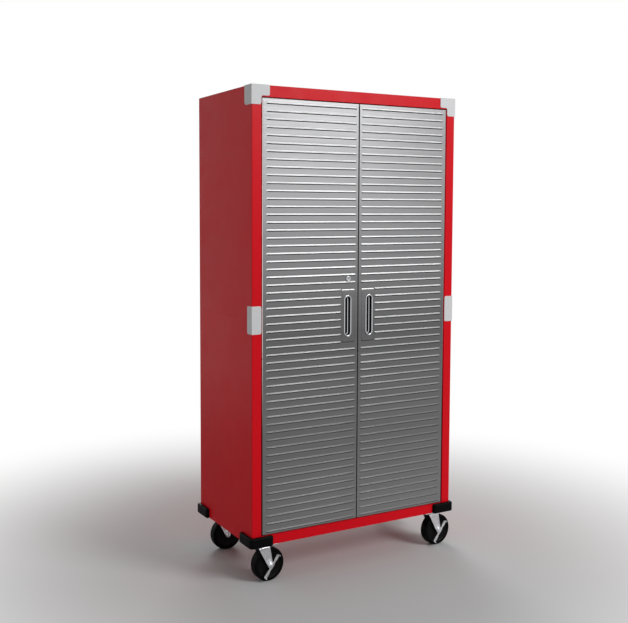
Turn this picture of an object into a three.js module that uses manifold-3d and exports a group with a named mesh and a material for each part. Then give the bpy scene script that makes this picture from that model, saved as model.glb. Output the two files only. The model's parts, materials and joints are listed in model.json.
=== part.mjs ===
// A steel storage cabinet with two ribbed stainless doors, on four swivel casters.
// Millimetres, +Z up, +X to the right of someone who faces the doors, which look towards -Y.
// The origin is on the floor, under the middle of the body.
import * as THREE from "three";
import { mergeVertices } from "three/addons/utils/BufferGeometryUtils.js";
import Module from "manifold-3d";

const wasm = await Module();
wasm.setup();

// Body shell
const bodyWidth = 914.4;
const bodyDepth = 457.2;
const bodyHeight = 1676.4;
const sheet = 1;
const clearance = 0.3;
const overrun = 2;
const seamGap = 0.8;
const stileWidth = 38;
const stileReturn = 40;
const topRailHeight = 41;
const bottomRailHeight = 37;
const railReturn = 46;
const railLip = 8;
const rearFlange = 18;
const topFlange = 18;
const baseReturn = 36;
const backInset = 2;

// Shelves and the slotted standards that carry them
const shelfCount = 4;
const shelfSheet = 1;
const shelfFrontInset = 50;
const shelfRearInset = 12;
const shelfFlange = 25;
const shelfReturn = 10;
const shelfEndGap = 1.5;
const standardWidth = 20;
const standardDepth = 8;
const standardFrontInset = 78;
const standardRearInset = 38;
const slotPitch = 79.5;
const slotHeight = 12;
const slotWidth = 4;
const clipReach = 12;
const clipWidth = 12;
const clipHeight = 16;
const clipSheet = 2;

// Guards of the front corners and of the side seams
const guardWall = 1.5;
const cornerGuardReach = 72;
const cornerGuardDepth = 54;
const cornerGuardDrop = 69;
const cornerGuardBand = 37;
const midGuardHeight = 102;
const midGuardDepth = 35;
const midGuardDrop = 2;
const guardRadius = 8;
const guardSideRadius = 14;
const guardEdgeRadius = 2;

// Bumpers round the corners of the base
const bumperProud = 13;
const bumperLeg = 85;
const bumperHeight = 38;
const bumperDrop = 2;
const bumperCornerRadius = 12;
const bumperEndRadius = 8;
const bumperBevel = 3;

// Doors
const doorSideGap = 4;
const doorMiddleGap = 3.4;
const doorTopGap = 4.2;
const doorBottomGap = 3.5;
const doorDepth = 24;
const skinSheet = 0.8;
const skinFold = 12;
const panSheet = 0.8;
const lowerRibs = 23;
const ribPitch = 28.43;
const ribFoot = 10.2;
const ribWidth = 7;
const ribRise = 3;
const ribOuterInset = 16.8;
const ribInnerInset = 10.7;
const beadSteps = 2;
const beadTurn = (70 / 180) * Math.PI;

// Handle pads and recessed pulls
const firstPadRib = 24;
const lastPadRib = 31;
const padWidth = 60;
const padInset = 12.8;
const padMargin = 2;
const padRise = 1.5;
const padRadius = 7;
const rimWidth = 34;
const rimHeight = 159;
const rimBand = 5.5;
const rimRise = 3.5;
const rimBevel = 1.5;
const pullOffset = 4.5;
const pullDepth = 20;
const pullWall = 1.5;

// Door hinge pins
const pivotInset = 10;
const pivotDepth = 8;
const pinRadius = 4;
const pinHeadRadius = 7;
const pinHeadHeight = 3;
const pinEngagement = 14;

// Lock of the left door
const lockInset = 44.3;
const barrelRadius = 8;
const plugRadius = 5.5;
const lockFlangeHeight = 3;
const plugRecess = 1;
const keywayWidth = 2;
const keywayLength = 7;
const keywayDepth = 6;
const barrelEnd = 1.2;
const camThickness = 3;
const camWidth = 15;
const camReach = 62;
const plugTenon = 4;

// Slide bolts of the right door and the catch of both
const boltInset = 60;
const boltStandoff = 8;
const boltRadius = 4;
const boltLength = 76;
const boltTipGap = 2;
const boltKnobRadius = 3.5;
const boltKnobLength = 12;
const guideWidth = 16;
const guideHeight = 8;
const guideWall = 4;
const guideInset = 12;
const catchWidth = 48;
const catchHeight = 18;
const catchDepth = 17;
const catchGap = 0.6;

// Casters
const casterHeight = 152.4;
const kingpinSideInset = 60.2;
const kingpinEndInset = 48.6;
const wheelDiameter = 127;
const treadWidth = 34;
const hubWidth = 40;
const hubRadius = 15;
const webRadius = 46;
const webRecess = 5;
const rimSlope = 4;
const shoulder = 3;
const shoulderRise = 2.5;
const casterTrail = 30;
const plateLength = 114;
const plateWidth = 94;
const plateThickness = 4;
const plateRadius = 8;
const raceRadius = 32;
const raceHeight = 6;
const raceGap = 0.6;
const kingpinRadius = 6;
const kingpinNutRadius = 11;
const kingpinNutHeight = 6;
const forkSheet = 3;
const forkRun = 0.6;
const forkTopWidth = 47;
const forkTopShift = 5;
const forkDish = 4;
const forkDishRadius = 29;
const forkBossRadius = 11;
const axleRadius = 6;
const axleHeadRadius = 9;
const axleHeadHeight = 5;
const leverThickness = 3;
const leverHubRadius = 12;
const leverArmWidth = 10;
const leverArmOffset = 9.5;
const leverUpperReach = 48;
const leverLowerReach = 53;
const leverLean = (53.5 / 180) * Math.PI;
const pedalDepth = 12;
const pedalThickness = 3;
const wheelSides = 24;
const rodSides = 10;
const raceSides = 18;

// How each caster has swung: the way its wheel trails, anticlockwise from +X seen from above
const casterSwings = {
  front_left: (3 / 180) * Math.PI,
  front_right: (3 / 180) * Math.PI,
  rear_left: 0,
  rear_right: (2 / 180) * Math.PI,
};

// Places worked out from the sizes above, with height zero at the body's underside
const halfWidth = bodyWidth / 2;
const halfDepth = bodyDepth / 2;
const wallX = halfWidth - sheet;
const openingX = halfWidth - stileWidth;
const frontY = -halfDepth;
const flangeY = halfDepth - sheet - clearance;
const middle = bodyHeight / 2;
const railUnder = bodyHeight - topRailHeight;
const sheetTop = bodyHeight - sheet - clearance;
const doorOuterX = openingX - doorSideGap;
const doorInnerX = doorMiddleGap / 2;
const doorBottom = bottomRailHeight + doorBottomGap;
const doorTop = railUnder - doorTopGap;
const doorBackY = frontY + doorDepth;
const pivotX = doorOuterX - pivotInset;
const pivotY = frontY + pivotDepth;
const kingpinX = halfWidth - kingpinSideInset;
const kingpinY = halfDepth - kingpinEndInset;
const ribCount = Math.floor((doorTop - doorBottom - 2 * ribFoot) / ribPitch) + 1;
const ribLevel = (index) => doorBottom + ribFoot + index * ribPitch;
const betweenRibs = (index) => (ribLevel(index) + ribLevel(index + 1)) / 2;
const skinSeam = betweenRibs(lowerRibs - 1);
const padBottom = ribLevel(firstPadRib) - padMargin;
const padTop = ribLevel(lastPadRib) + padMargin;
const padInnerX = doorInnerX + padInset;
const padOuterX = padInnerX + padWidth;
const pullX = (padInnerX + padOuterX) / 2 + pullOffset;
const pullZ = (padBottom + padTop) / 2;
const lockX = doorInnerX + lockInset;
const lockZ = betweenRibs(lastPadRib + 1);
const lockFlangeRadius = (ribPitch - ribWidth) / 2 - clearance;
const boltX = doorInnerX + boltInset;
const boltY = doorBackY + boltStandoff;
const standardFaceX = wallX - clearance - standardDepth;
const standardYs = {
  front: frontY + standardFrontInset,
  rear: halfDepth - standardRearInset,
};
const slotLevel = (index) => bottomRailHeight + index * slotPitch;
const shelfSpacing = Math.round((railUnder - bottomRailHeight) / (shelfCount + 1) / slotPitch);
const clipTop = (shelf) => slotLevel(shelf * shelfSpacing);

// Casters, with height zero at the body's underside and the kingpin on the Z axis
const plateTop = -clearance;
const plateUnder = plateTop - plateThickness;
const raceUnder = plateUnder - raceHeight;
const dishTop = raceUnder - raceGap;
const crownTop = dishTop - forkDish;
const crownUnder = crownTop - forkSheet;
const wheelRadius = wheelDiameter / 2;
const axleZ = wheelRadius - casterHeight;
const legInner = hubWidth / 2 + forkRun;
const legOuter = legInner + forkSheet;
const leverInner = legOuter + clearance;
const leverOuter = leverInner + leverThickness;

// Finishes
const finish = (color, roughness, metalness) =>
  new THREE.MeshStandardMaterial({ color, roughness, metalness });
const redPaint = () => finish(0xb31019, 0.35, 0.1);
const stainless = () => finish(0xa9abad, 0.3, 0.9);
const shelfPaint = () => finish(0x3a3b3d, 0.55, 0.2);
const zinc = () => finish(0xb9bcc0, 0.35, 0.85);
const chrome = () => finish(0xc9cbce, 0.15, 1);
const guardPlastic = () => finish(0xc4c5c7, 0.5, 0.1);
const blackRubber = () => finish(0x101213, 0.7, 0);
const blackPlastic = () => finish(0x141516, 0.5, 0);

// Joining and cutting
function solidOf(geometry) {
  const bare = geometry.clone();
  bare.deleteAttribute("normal");
  bare.deleteAttribute("uv");
  const merged = mergeVertices(bare);
  const mesh = new wasm.Mesh({
    numProp: 3,
    vertProperties: merged.attributes.position.array,
    triVerts: new Uint32Array(merged.index.array),
  });
  return new wasm.Manifold(mesh);
}

function geometryOf(solid) {
  const { vertProperties, triVerts } = solid.getMesh();
  const geometry = new THREE.BufferGeometry();
  geometry.setAttribute("position", new THREE.BufferAttribute(vertProperties, 3));
  geometry.setIndex(new THREE.BufferAttribute(triVerts, 1));
  const flat = geometry.toNonIndexed();
  flat.computeVertexNormals();
  return flat;
}

function joined(...geometries) {
  return geometryOf(geometries.map(solidOf).reduce((whole, next) => whole.add(next)));
}

function cut(geometry, ...tools) {
  return geometryOf(tools.map(solidOf).reduce((rest, tool) => rest.subtract(tool), solidOf(geometry)));
}

// A box between two places along each axis
function block([x0, x1], [y0, y1], [z0, z1]) {
  const box = new THREE.BoxGeometry(x1 - x0, y1 - y0, z1 - z0);
  return box.translate((x0 + x1) / 2, (y0 + y1) / 2, (z0 + z1) / 2);
}

// A closed outline through corners [u, v, radius], where a corner with no radius is sharp
function outline(corners) {
  const shape = new THREE.Shape();
  corners.forEach(([u, v, radius = 0], index) => {
    const corner = new THREE.Vector2(u, v);
    const along = (other) => {
      const [nextU, nextV] = corners.at(other % corners.length);
      return new THREE.Vector2(nextU, nextV).sub(corner).setLength(radius).add(corner);
    };
    const start = along(index - 1);
    const end = along(index + 1);
    if (index) shape.lineTo(start.x, start.y);
    else shape.moveTo(start.x, start.y);
    if (radius) shape.quadraticCurveTo(u, v, end.x, end.y);
  });
  return shape;
}

function circle(u, v, radius, sides = rodSides) {
  const turn = (2 * Math.PI) / sides;
  return outline(
    Array.from({ length: sides }, (_, index) => [
      u + radius * Math.cos(index * turn),
      v + radius * Math.sin(index * turn),
    ]),
  );
}

// The outline of a hole whose flats clear a round piece of this radius
function roundHole(u, v, radius, sides = rodSides) {
  return circle(u, v, (radius + clearance) / Math.cos(Math.PI / sides), sides);
}

// An upright slot outline with round ends
function stadium(u, v, width, height) {
  const radius = width / 2;
  const reach = height / 2 - radius;
  const shape = new THREE.Shape();
  shape.absarc(u, v + reach, radius, 0, Math.PI);
  shape.absarc(u, v - reach, radius, Math.PI, 2 * Math.PI);
  return shape;
}

// An outline made solid between two places along the axis that it faces:
// for "x" it is drawn in (y, z), for "y" in (x, z) and for "z" in (x, y)
function prism(axis, shape, [from, to], options = {}) {
  const geometry = new THREE.ExtrudeGeometry(shape, {
    depth: to - from,
    bevelEnabled: false,
    curveSegments: 3,
    ...options,
  });
  const turn = new THREE.Matrix4();
  const X = new THREE.Vector3(1, 0, 0);
  const Y = new THREE.Vector3(0, 1, 0);
  const Z = new THREE.Vector3(0, 0, 1);
  if (axis === "x") turn.makeBasis(Y, Z, X).setPosition(from, 0, 0);
  if (axis === "y") turn.makeBasis(X, Z, Y.clone().negate()).setPosition(0, to, 0);
  if (axis === "z") turn.setPosition(0, 0, from);
  return geometry.applyMatrix4(turn);
}

// A turned piece about an axis through (u, v), from its profile of [radius, place along the axis]
function turned(axis, [u, v], profile, sides = rodSides) {
  const points = profile.map(([radius, along]) => new THREE.Vector2(radius, along));
  if (THREE.ShapeUtils.isClockWise(points)) points.reverse();
  const geometry = new THREE.LatheGeometry(points, sides);
  if (axis === "z") return geometry.rotateX(Math.PI / 2).translate(u, v, 0);
  return geometry.translate(u, 0, v);
}

// Body shell: folded sheets, drawn for the left side where they come in pairs
function sidePanel([from, to]) {
  const shape = outline([
    [-halfWidth, frontY],
    [-openingX, frontY],
    [-openingX, frontY + stileReturn],
    [-openingX - sheet, frontY + stileReturn],
    [-openingX - sheet, frontY + sheet],
    [-wallX, frontY + sheet],
    [-wallX, flangeY - sheet],
    [-halfWidth + rearFlange, flangeY - sheet],
    [-halfWidth + rearFlange, flangeY],
    [-halfWidth, flangeY],
  ]);
  return prism("z", shape, [from, to]);
}

function topPanel() {
  const railX = openingX - clearance;
  const returnY = frontY + railReturn;
  const flangeX = halfWidth - rearFlange - clearance;
  const sideX = wallX - clearance;
  const rail = outline([
    [frontY, railUnder],
    [returnY, railUnder],
    [returnY, railUnder + railLip],
    [returnY - sheet, railUnder + railLip],
    [returnY - sheet, railUnder + sheet],
    [frontY + sheet, railUnder + sheet],
    [frontY + sheet, bodyHeight],
    [frontY, bodyHeight],
  ]);
  const sideFlange = (x0) =>
    block(
      [x0, x0 + sheet],
      [frontY + stileReturn + clearance, flangeY - sheet - clearance],
      [bodyHeight - topFlange, bodyHeight],
    );
  const holes = [-pivotX, pivotX].map((x) =>
    prism("z", roundHole(x, pivotY, pinRadius), [railUnder - overrun, railUnder + sheet + overrun]),
  );
  const boltWay = prism("z", roundHole(boltX, boltY, boltRadius), [
    railUnder - overrun,
    railUnder + sheet + overrun,
  ]);
  return cut(
    joined(
      block([-halfWidth, halfWidth], [frontY, halfDepth], [bodyHeight - sheet, bodyHeight]),
      prism("x", rail, [-railX, railX]),
      block([-flangeX, flangeX], [flangeY - sheet, flangeY], [bodyHeight - topFlange, bodyHeight]),
      sideFlange(-sideX),
      sideFlange(sideX - sheet),
    ),
    ...holes,
    boltWay,
  );
}

function baseFrame() {
  const railX = openingX - clearance;
  const sideX = wallX - clearance;
  const stileY = frontY + stileReturn + clearance;
  const rearY = flangeY - sheet - clearance;
  const tongueX = openingX + sheet + clearance;
  const tongueY = frontY + sheet + clearance;
  const plate = outline([
    [-railX, frontY],
    [railX, frontY],
    [railX, stileY],
    [tongueX, stileY],
    [tongueX, tongueY],
    [sideX, tongueY],
    [sideX, rearY],
    [-sideX, rearY],
    [-sideX, tongueY],
    [-tongueX, tongueY],
    [-tongueX, stileY],
    [-railX, stileY],
  ]);
  const front = outline([
    [frontY, 0],
    [frontY + baseReturn, 0],
    [frontY + baseReturn, sheet],
    [frontY + sheet, sheet],
    [frontY + sheet, bottomRailHeight],
    [frontY, bottomRailHeight],
  ]);
  const rear = outline([
    [rearY - baseReturn, 0],
    [rearY, 0],
    [rearY, bottomRailHeight],
    [rearY - sheet, bottomRailHeight],
    [rearY - sheet, sheet],
    [rearY - baseReturn, sheet],
  ]);
  const channel = (x) => {
    const half = Math.min(plateLength / 2, sideX - kingpinX);
    const shape = outline([
      [x - half, 0],
      [x + half, 0],
      [x + half, bottomRailHeight],
      [x + half - sheet, bottomRailHeight],
      [x + half - sheet, sheet],
      [x - half + sheet, sheet],
      [x - half + sheet, bottomRailHeight],
      [x - half, bottomRailHeight],
    ]);
    return prism("y", shape, [stileY, rearY - baseReturn - clearance]);
  };
  const holes = [-pivotX, pivotX].map((x) =>
    prism("z", roundHole(x, pivotY, pinRadius), [
      bottomRailHeight - sheet - overrun,
      bottomRailHeight + overrun,
    ]),
  );
  const boltWay = prism("z", roundHole(boltX, boltY, boltRadius), [
    bottomRailHeight - sheet - overrun,
    bottomRailHeight + overrun,
  ]);
  return cut(
    joined(
      prism("z", plate, [bottomRailHeight - sheet, bottomRailHeight]),
      prism("x", front, [-railX, railX]),
      prism("x", rear, [-sideX, sideX]),
      channel(-kingpinX),
      channel(kingpinX),
    ),
    ...holes,
    boltWay,
  );
}

function backPanel([from, to]) {
  const x = halfWidth - backInset;
  return block([-x, x], [halfDepth - sheet, halfDepth], [from, to]);
}

// Shelves and standards
function shelf(level) {
  const f = frontY + shelfFrontInset;
  const r = flangeY - shelfRearInset;
  const under = shelfFlange;
  const t = shelfSheet;
  const x = standardFaceX - shelfEndGap;
  const shape = outline([
    [f, level + t - under],
    [f + shelfReturn, level + t - under],
    [f + shelfReturn, level + t + t - under],
    [f + t, level + t + t - under],
    [f + t, level],
    [r - t, level],
    [r - t, level + t + t - under],
    [r - shelfReturn, level + t + t - under],
    [r - shelfReturn, level + t - under],
    [r, level + t - under],
    [r, level + t],
    [f, level + t],
  ]);
  return prism("x", shape, [-x, x]);
}

function standard(y) {
  const half = standardWidth / 2;
  const foot = bottomRailHeight + clearance;
  const head = railUnder;
  const outerX = -wallX + clearance;
  const faceX = -standardFaceX;
  const channel = outline([
    [outerX, y - half],
    [faceX, y - half],
    [faceX, y + half],
    [outerX, y + half],
    [outerX, y + half - sheet],
    [faceX - sheet, y + half - sheet],
    [faceX - sheet, y - half + sheet],
    [outerX, y - half + sheet],
  ]);
  const slots = [];
  for (let index = 1; slotLevel(index) + slotHeight < head; index++) {
    const z = slotLevel(index) - slotHeight / 2;
    slots.push(
      block(
        [faceX - sheet - overrun, faceX + overrun],
        [y - slotWidth / 2, y + slotWidth / 2],
        [z - slotHeight, z],
      ),
    );
  }
  const clips = [];
  for (let index = 1; index <= shelfCount; index++) {
    const top = clipTop(index);
    const width = [y - clipWidth / 2, y + clipWidth / 2];
    clips.push(block([faceX - sheet, faceX + clipSheet], width, [top - clipHeight, top]));
    clips.push(block([faceX, faceX + clipReach], width, [top - clipSheet, top]));
  }
  return joined(cut(prism("z", channel, [foot, head]), ...slots), ...clips);
}

// Guards: bent plates on the outside of the shell
function cornerGuard() {
  const outX = -halfWidth - clearance - guardWall;
  const outY = frontY - clearance - guardWall;
  const outZ = bodyHeight + clearance + guardWall;
  const reachX = -halfWidth + cornerGuardReach;
  const reachY = frontY + cornerGuardDepth;
  const footZ = bodyHeight - cornerGuardDrop;
  const front = outline([
    [outX, footZ, guardEdgeRadius],
    [-openingX, footZ, guardRadius],
    [-openingX, bodyHeight - cornerGuardBand, guardRadius],
    [reachX, bodyHeight - cornerGuardBand, guardRadius],
    [reachX, outZ],
    [outX, outZ],
  ]);
  const side = outline([
    [outY, footZ, guardEdgeRadius],
    [reachY, footZ, guardSideRadius],
    [reachY, outZ],
    [outY, outZ],
  ]);
  const top = outline([
    [outX, outY],
    [reachX, outY],
    [reachX, reachY, guardSideRadius],
    [outX, reachY],
  ]);
  return joined(
    prism("y", front, [outY, outY + guardWall]),
    prism("x", side, [outX, outX + guardWall]),
    prism("z", top, [outZ - guardWall, outZ]),
  );
}

function midGuard() {
  const outX = -halfWidth - clearance - guardWall;
  const outY = frontY - clearance - guardWall;
  const foot = middle - midGuardDrop - midGuardHeight / 2;
  const head = middle - midGuardDrop + midGuardHeight / 2;
  const front = outline([
    [outX, foot],
    [-openingX, foot, guardRadius],
    [-openingX, head, guardRadius],
    [outX, head],
  ]);
  const side = outline([
    [outY, foot],
    [frontY + midGuardDepth, foot, guardRadius],
    [frontY + midGuardDepth, head, guardRadius],
    [outY, head],
  ]);
  return joined(
    prism("y", front, [outY, outY + guardWall]),
    prism("x", side, [outX, outX + guardWall]),
  );
}

// A bumper at the corner (-1, side) of the base, where side is -1 at the front and 1 at the rear
function bumper(side) {
  const outX = -halfWidth - bumperProud + bumperBevel;
  const outY = side * (halfDepth + bumperProud - bumperBevel);
  const wallOf = bumperProud - bumperBevel;
  const inX = outX + wallOf;
  const inY = outY - side * wallOf;
  const endX = -halfWidth + bumperLeg - bumperBevel;
  const endY = side * (halfDepth - bumperLeg + bumperBevel);
  const shape = outline([
    [outX, outY, bumperCornerRadius],
    [endX, outY, bumperEndRadius],
    [endX, inY],
    [inX, inY],
    [inX, endY],
    [outX, endY, bumperEndRadius],
  ]);
  const leg = prism("z", shape, [bumperBevel - bumperDrop, bumperHeight - bumperDrop - bumperBevel], {
    bevelEnabled: true,
    bevelThickness: bumperBevel,
    bevelSize: bumperBevel,
    bevelSegments: 1,
    curveSegments: 4,
  });
  const bodyCorner = block(
    [-halfWidth - clearance, 0],
    [Math.min(side * (halfDepth + clearance), 0), Math.max(side * (halfDepth + clearance), 0)],
    [-bumperHeight, bumperHeight],
  );
  return cut(leg, bodyCorner);
}

// Doors, drawn for the left
// A long bead that stands forward of a skin, with its ends drawn in like its flanks
function bead([x0, x1], z) {
  const rings = [[0, frontY + skinSheet / 2]];
  for (let step = 1; step <= beadSteps; step++) {
    const angle = (step / beadSteps) * beadTurn;
    const inset = (ribWidth / 2) * (1 - Math.cos(angle));
    rings.push([inset, frontY - (ribRise * Math.sin(angle)) / Math.sin(beadTurn)]);
  }
  const places = rings.flatMap(([inset, y]) => {
    const low = z - ribWidth / 2 + inset;
    const high = z + ribWidth / 2 - inset;
    return [x0 + inset, y, low, x1 - inset, y, low, x1 - inset, y, high, x0 + inset, y, high];
  });
  const faces = [0, 2, 1, 0, 3, 2];
  for (let ring = 0; ring < beadSteps; ring++) {
    for (let side = 0; side < 4; side++) {
      const a = ring * 4 + side;
      const b = ring * 4 + ((side + 1) % 4);
      faces.push(a, b, b + 4, a, b + 4, a + 4);
    }
  }
  const last = beadSteps * 4;
  faces.push(last, last + 1, last + 2, last, last + 2, last + 3);
  const geometry = new THREE.BufferGeometry();
  geometry.setAttribute("position", new THREE.Float32BufferAttribute(places, 3));
  geometry.setIndex(faces);
  return geometry;
}

// The skin's sheet, folded back along both edges of the door
function skinSheets([from, to]) {
  const outer = -doorOuterX;
  const inner = -doorInnerX;
  const t = skinSheet;
  const shape = outline([
    [outer, frontY],
    [inner, frontY],
    [inner, frontY + skinFold],
    [inner - t, frontY + skinFold],
    [inner - t, frontY + t],
    [outer + t, frontY + t],
    [outer + t, frontY + skinFold],
    [outer, frontY + skinFold],
  ]);
  return prism("z", shape, [from, to]);
}

function ribs(from, to) {
  const outer = -doorOuterX + ribOuterInset;
  const inner = -doorInnerX - ribInnerInset;
  const beads = [];
  for (let index = from; index < to; index++) {
    const besidePad = index >= firstPadRib && index <= lastPadRib;
    const end = besidePad ? -padOuterX - padMargin : inner;
    beads.push(bead([outer, end], ribLevel(index)));
  }
  return beads;
}

function lowerSkin() {
  return joined(skinSheets([doorBottom, skinSeam - seamGap / 2]), ...ribs(0, lowerRibs));
}

function upperSkin(locked) {
  const pad = outline([
    [-padOuterX, padBottom, padRadius],
    [-padInnerX, padBottom, padRadius],
    [-padInnerX, padTop, padRadius],
    [-padOuterX, padTop, padRadius],
  ]);
  const through = [frontY - ribRise - overrun, frontY + skinSheet + overrun];
  const pullWidth = rimWidth - 2 * rimBand + 2 * pullWall + 2 * clearance;
  const pullHeight = rimHeight - 2 * rimBand + 2 * pullWall + 2 * clearance;
  const tools = [prism("y", stadium(-pullX, pullZ, pullWidth, pullHeight), through)];
  if (locked) tools.push(prism("y", roundHole(-lockX, lockZ, barrelRadius), through));
  return cut(
    joined(
      skinSheets([skinSeam + seamGap / 2, doorTop]),
      prism("y", pad, [frontY - padRise, frontY + skinSheet]),
      ...ribs(lowerRibs, ribCount),
    ),
    ...tools,
  );
}

// The inner pan is a tray that opens towards the skins
function pan(locked) {
  const outer = -doorOuterX + skinSheet + clearance;
  const inner = -doorInnerX - skinSheet - clearance;
  const t = panSheet;
  const face = frontY + skinSheet + clearance;
  const tray = block([outer, inner], [face, doorBackY], [doorBottom, doorTop]);
  const hollow = block(
    [outer + t, inner - t],
    [face - overrun, doorBackY - t],
    [doorBottom + t, doorTop - t],
  );
  const pinWay = prism("z", roundHole(-pivotX, pivotY, pinRadius), [
    doorBottom - overrun,
    doorTop + overrun,
  ]);
  const tools = [hollow, pinWay];
  if (locked) {
    const through = [doorBackY - overrun, doorBackY + overrun];
    tools.push(prism("y", roundHole(-lockX, lockZ, barrelRadius), through));
  }
  return cut(tray, ...tools);
}

// Lugs on the pan's back for one slide bolt, which shoots up (1) or down (-1)
const boltEnd = (way) => (way > 0 ? doorTop - boltTipGap : doorBottom + boltTipGap);

function boltGuides(way) {
  const reach = [guideInset, boltLength - guideInset].map((inset) => boltEnd(way) - way * inset);
  return reach.map((z) =>
    block(
      [-boltX - guideWidth / 2, -boltX + guideWidth / 2],
      [doorBackY - panSheet, boltY + boltRadius + guideWall],
      [z - guideHeight / 2, z + guideHeight / 2],
    ),
  );
}

function panWithGuides() {
  const ways = [1, -1].map((way) => {
    const end = boltEnd(way);
    const span = [end - way * boltLength - way * overrun, end + way * overrun];
    return prism("z", roundHole(-boltX, boltY, boltRadius), [Math.min(...span), Math.max(...span)]);
  });
  return cut(joined(pan(false), ...boltGuides(1), ...boltGuides(-1)), ...ways);
}

function slideBolt(way) {
  const end = boltEnd(way);
  const tail = end - way * boltLength;
  const rod = prism("z", circle(-boltX, boltY, boltRadius), [Math.min(end, tail), Math.max(end, tail)]);
  const knob = prism("y", circle(-boltX, (end + tail) / 2, boltKnobRadius), [
    boltY,
    boltY + boltRadius + boltKnobLength,
  ]);
  return joined(rod, knob);
}

// The pull: a rim on the pad and a cup behind it
function pull() {
  const inside = [rimWidth - 2 * rimBand, rimHeight - 2 * rimBand];
  const outside = inside.map((size) => size + 2 * pullWall);
  const padFront = frontY - padRise;
  const rimBack = padFront - clearance;
  const rimFront = rimBack - rimRise;
  const cupBack = padFront + pullDepth;
  const rim = prism(
    "y",
    stadium(-pullX, pullZ, rimWidth - 2 * rimBevel, rimHeight - 2 * rimBevel),
    [rimFront + rimBevel, rimBack],
    { bevelEnabled: true, bevelThickness: rimBevel, bevelSize: rimBevel, bevelSegments: 1 },
  );
  const trim = block(
    [-pullX - rimWidth, -pullX + rimWidth],
    [rimBack, rimBack + rimWidth],
    [pullZ - rimHeight, pullZ + rimHeight],
  );
  const cup = prism("y", stadium(-pullX, pullZ, ...outside), [rimFront + rimBevel, cupBack]);
  const hollow = prism("y", stadium(-pullX, pullZ, ...inside), [
    rimFront - overrun,
    cupBack - pullWall,
  ]);
  return cut(joined(cut(rim, trim), cup), hollow);
}

// A hinge pin through the rail (from sheet face `rail`) into the door (edge `door`)
function hingePin(rail, door) {
  const way = Math.sign(door - rail);
  const profile = [
    [0, rail - way * (sheet + clearance + pinHeadHeight)],
    [pinHeadRadius, rail - way * (sheet + clearance + pinHeadHeight)],
    [pinHeadRadius, rail - way * (sheet + clearance)],
    [pinRadius, rail - way * (sheet + clearance)],
    [pinRadius, rail + way * clearance],
    [pinHeadRadius, rail + way * clearance],
    [pinHeadRadius, door - way * clearance],
    [pinRadius, door - way * clearance],
    [pinRadius, door + way * pinEngagement],
    [0, door + way * pinEngagement],
  ];
  return turned("z", [-pivotX, pivotY], profile);
}

// Lock
function lockHousing() {
  const face = frontY - clearance;
  const end = doorBackY + barrelEnd;
  const flange = prism("y", circle(-lockX, lockZ, lockFlangeRadius, raceSides), [
    face - lockFlangeHeight,
    face,
  ]);
  const barrel = prism("y", circle(-lockX, lockZ, barrelRadius), [face - clearance, end]);
  const bore = prism("y", roundHole(-lockX, lockZ, plugRadius), [
    face - lockFlangeHeight - overrun,
    end + overrun,
  ]);
  return cut(joined(flange, barrel), bore);
}

function lockPlug() {
  const face = frontY - clearance - lockFlangeHeight + plugRecess;
  const end = doorBackY + barrelEnd + clearance;
  const plug = prism("y", circle(-lockX, lockZ, plugRadius), [face, end]);
  const tenon = block(
    [-lockX - plugTenon / 2, -lockX + plugTenon / 2],
    [end - overrun, end + camThickness + clearance],
    [lockZ - plugTenon / 2, lockZ + plugTenon / 2],
  );
  const keyway = block(
    [-lockX - keywayWidth / 2, -lockX + keywayWidth / 2],
    [face - overrun, face + keywayDepth],
    [lockZ - keywayLength / 2, lockZ + keywayLength / 2],
  );
  return cut(joined(plug, tenon), keyway);
}

function lockCam() {
  const front = doorBackY + barrelEnd + clearance + clearance;
  const span = [front, front + camThickness];
  const half = camWidth / 2;
  const hole = plugTenon / 2 + clearance;
  const shape = outline([
    [-lockX - half, lockZ - camReach, half],
    [-lockX + half, lockZ - camReach, half],
    [-lockX + half, lockZ + half, half],
    [-lockX - half, lockZ + half, half],
  ]);
  const socket = block(
    [-lockX - hole, -lockX + hole],
    [front - overrun, front + camThickness + overrun],
    [lockZ - hole, lockZ + hole],
  );
  return cut(prism("y", shape, span), socket);
}

function magneticCatch() {
  const front = doorBackY + catchGap;
  return block(
    [-catchWidth / 2, catchWidth / 2],
    [front, front + catchDepth],
    [railUnder - clearance - catchHeight, railUnder - clearance],
  );
}

// Casters, drawn trailing towards +X
function casterPlate() {
  const plate = outline([
    [-plateLength / 2, -plateWidth / 2, plateRadius],
    [plateLength / 2, -plateWidth / 2, plateRadius],
    [plateLength / 2, plateWidth / 2, plateRadius],
    [-plateLength / 2, plateWidth / 2, plateRadius],
  ]);
  const nutTop = crownUnder - raceGap;
  const race = [
    [0, nutTop - kingpinNutHeight],
    [kingpinNutRadius, nutTop - kingpinNutHeight],
    [kingpinNutRadius, nutTop],
    [kingpinRadius, nutTop],
    [kingpinRadius, raceUnder],
    [raceRadius, raceUnder],
    [raceRadius, plateTop - plateThickness / 2],
    [0, plateTop - plateThickness / 2],
  ];
  return joined(
    prism("z", plate, [plateUnder, plateTop], { curveSegments: 2 }),
    turned("z", [0, 0], race, raceSides),
  );
}

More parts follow.
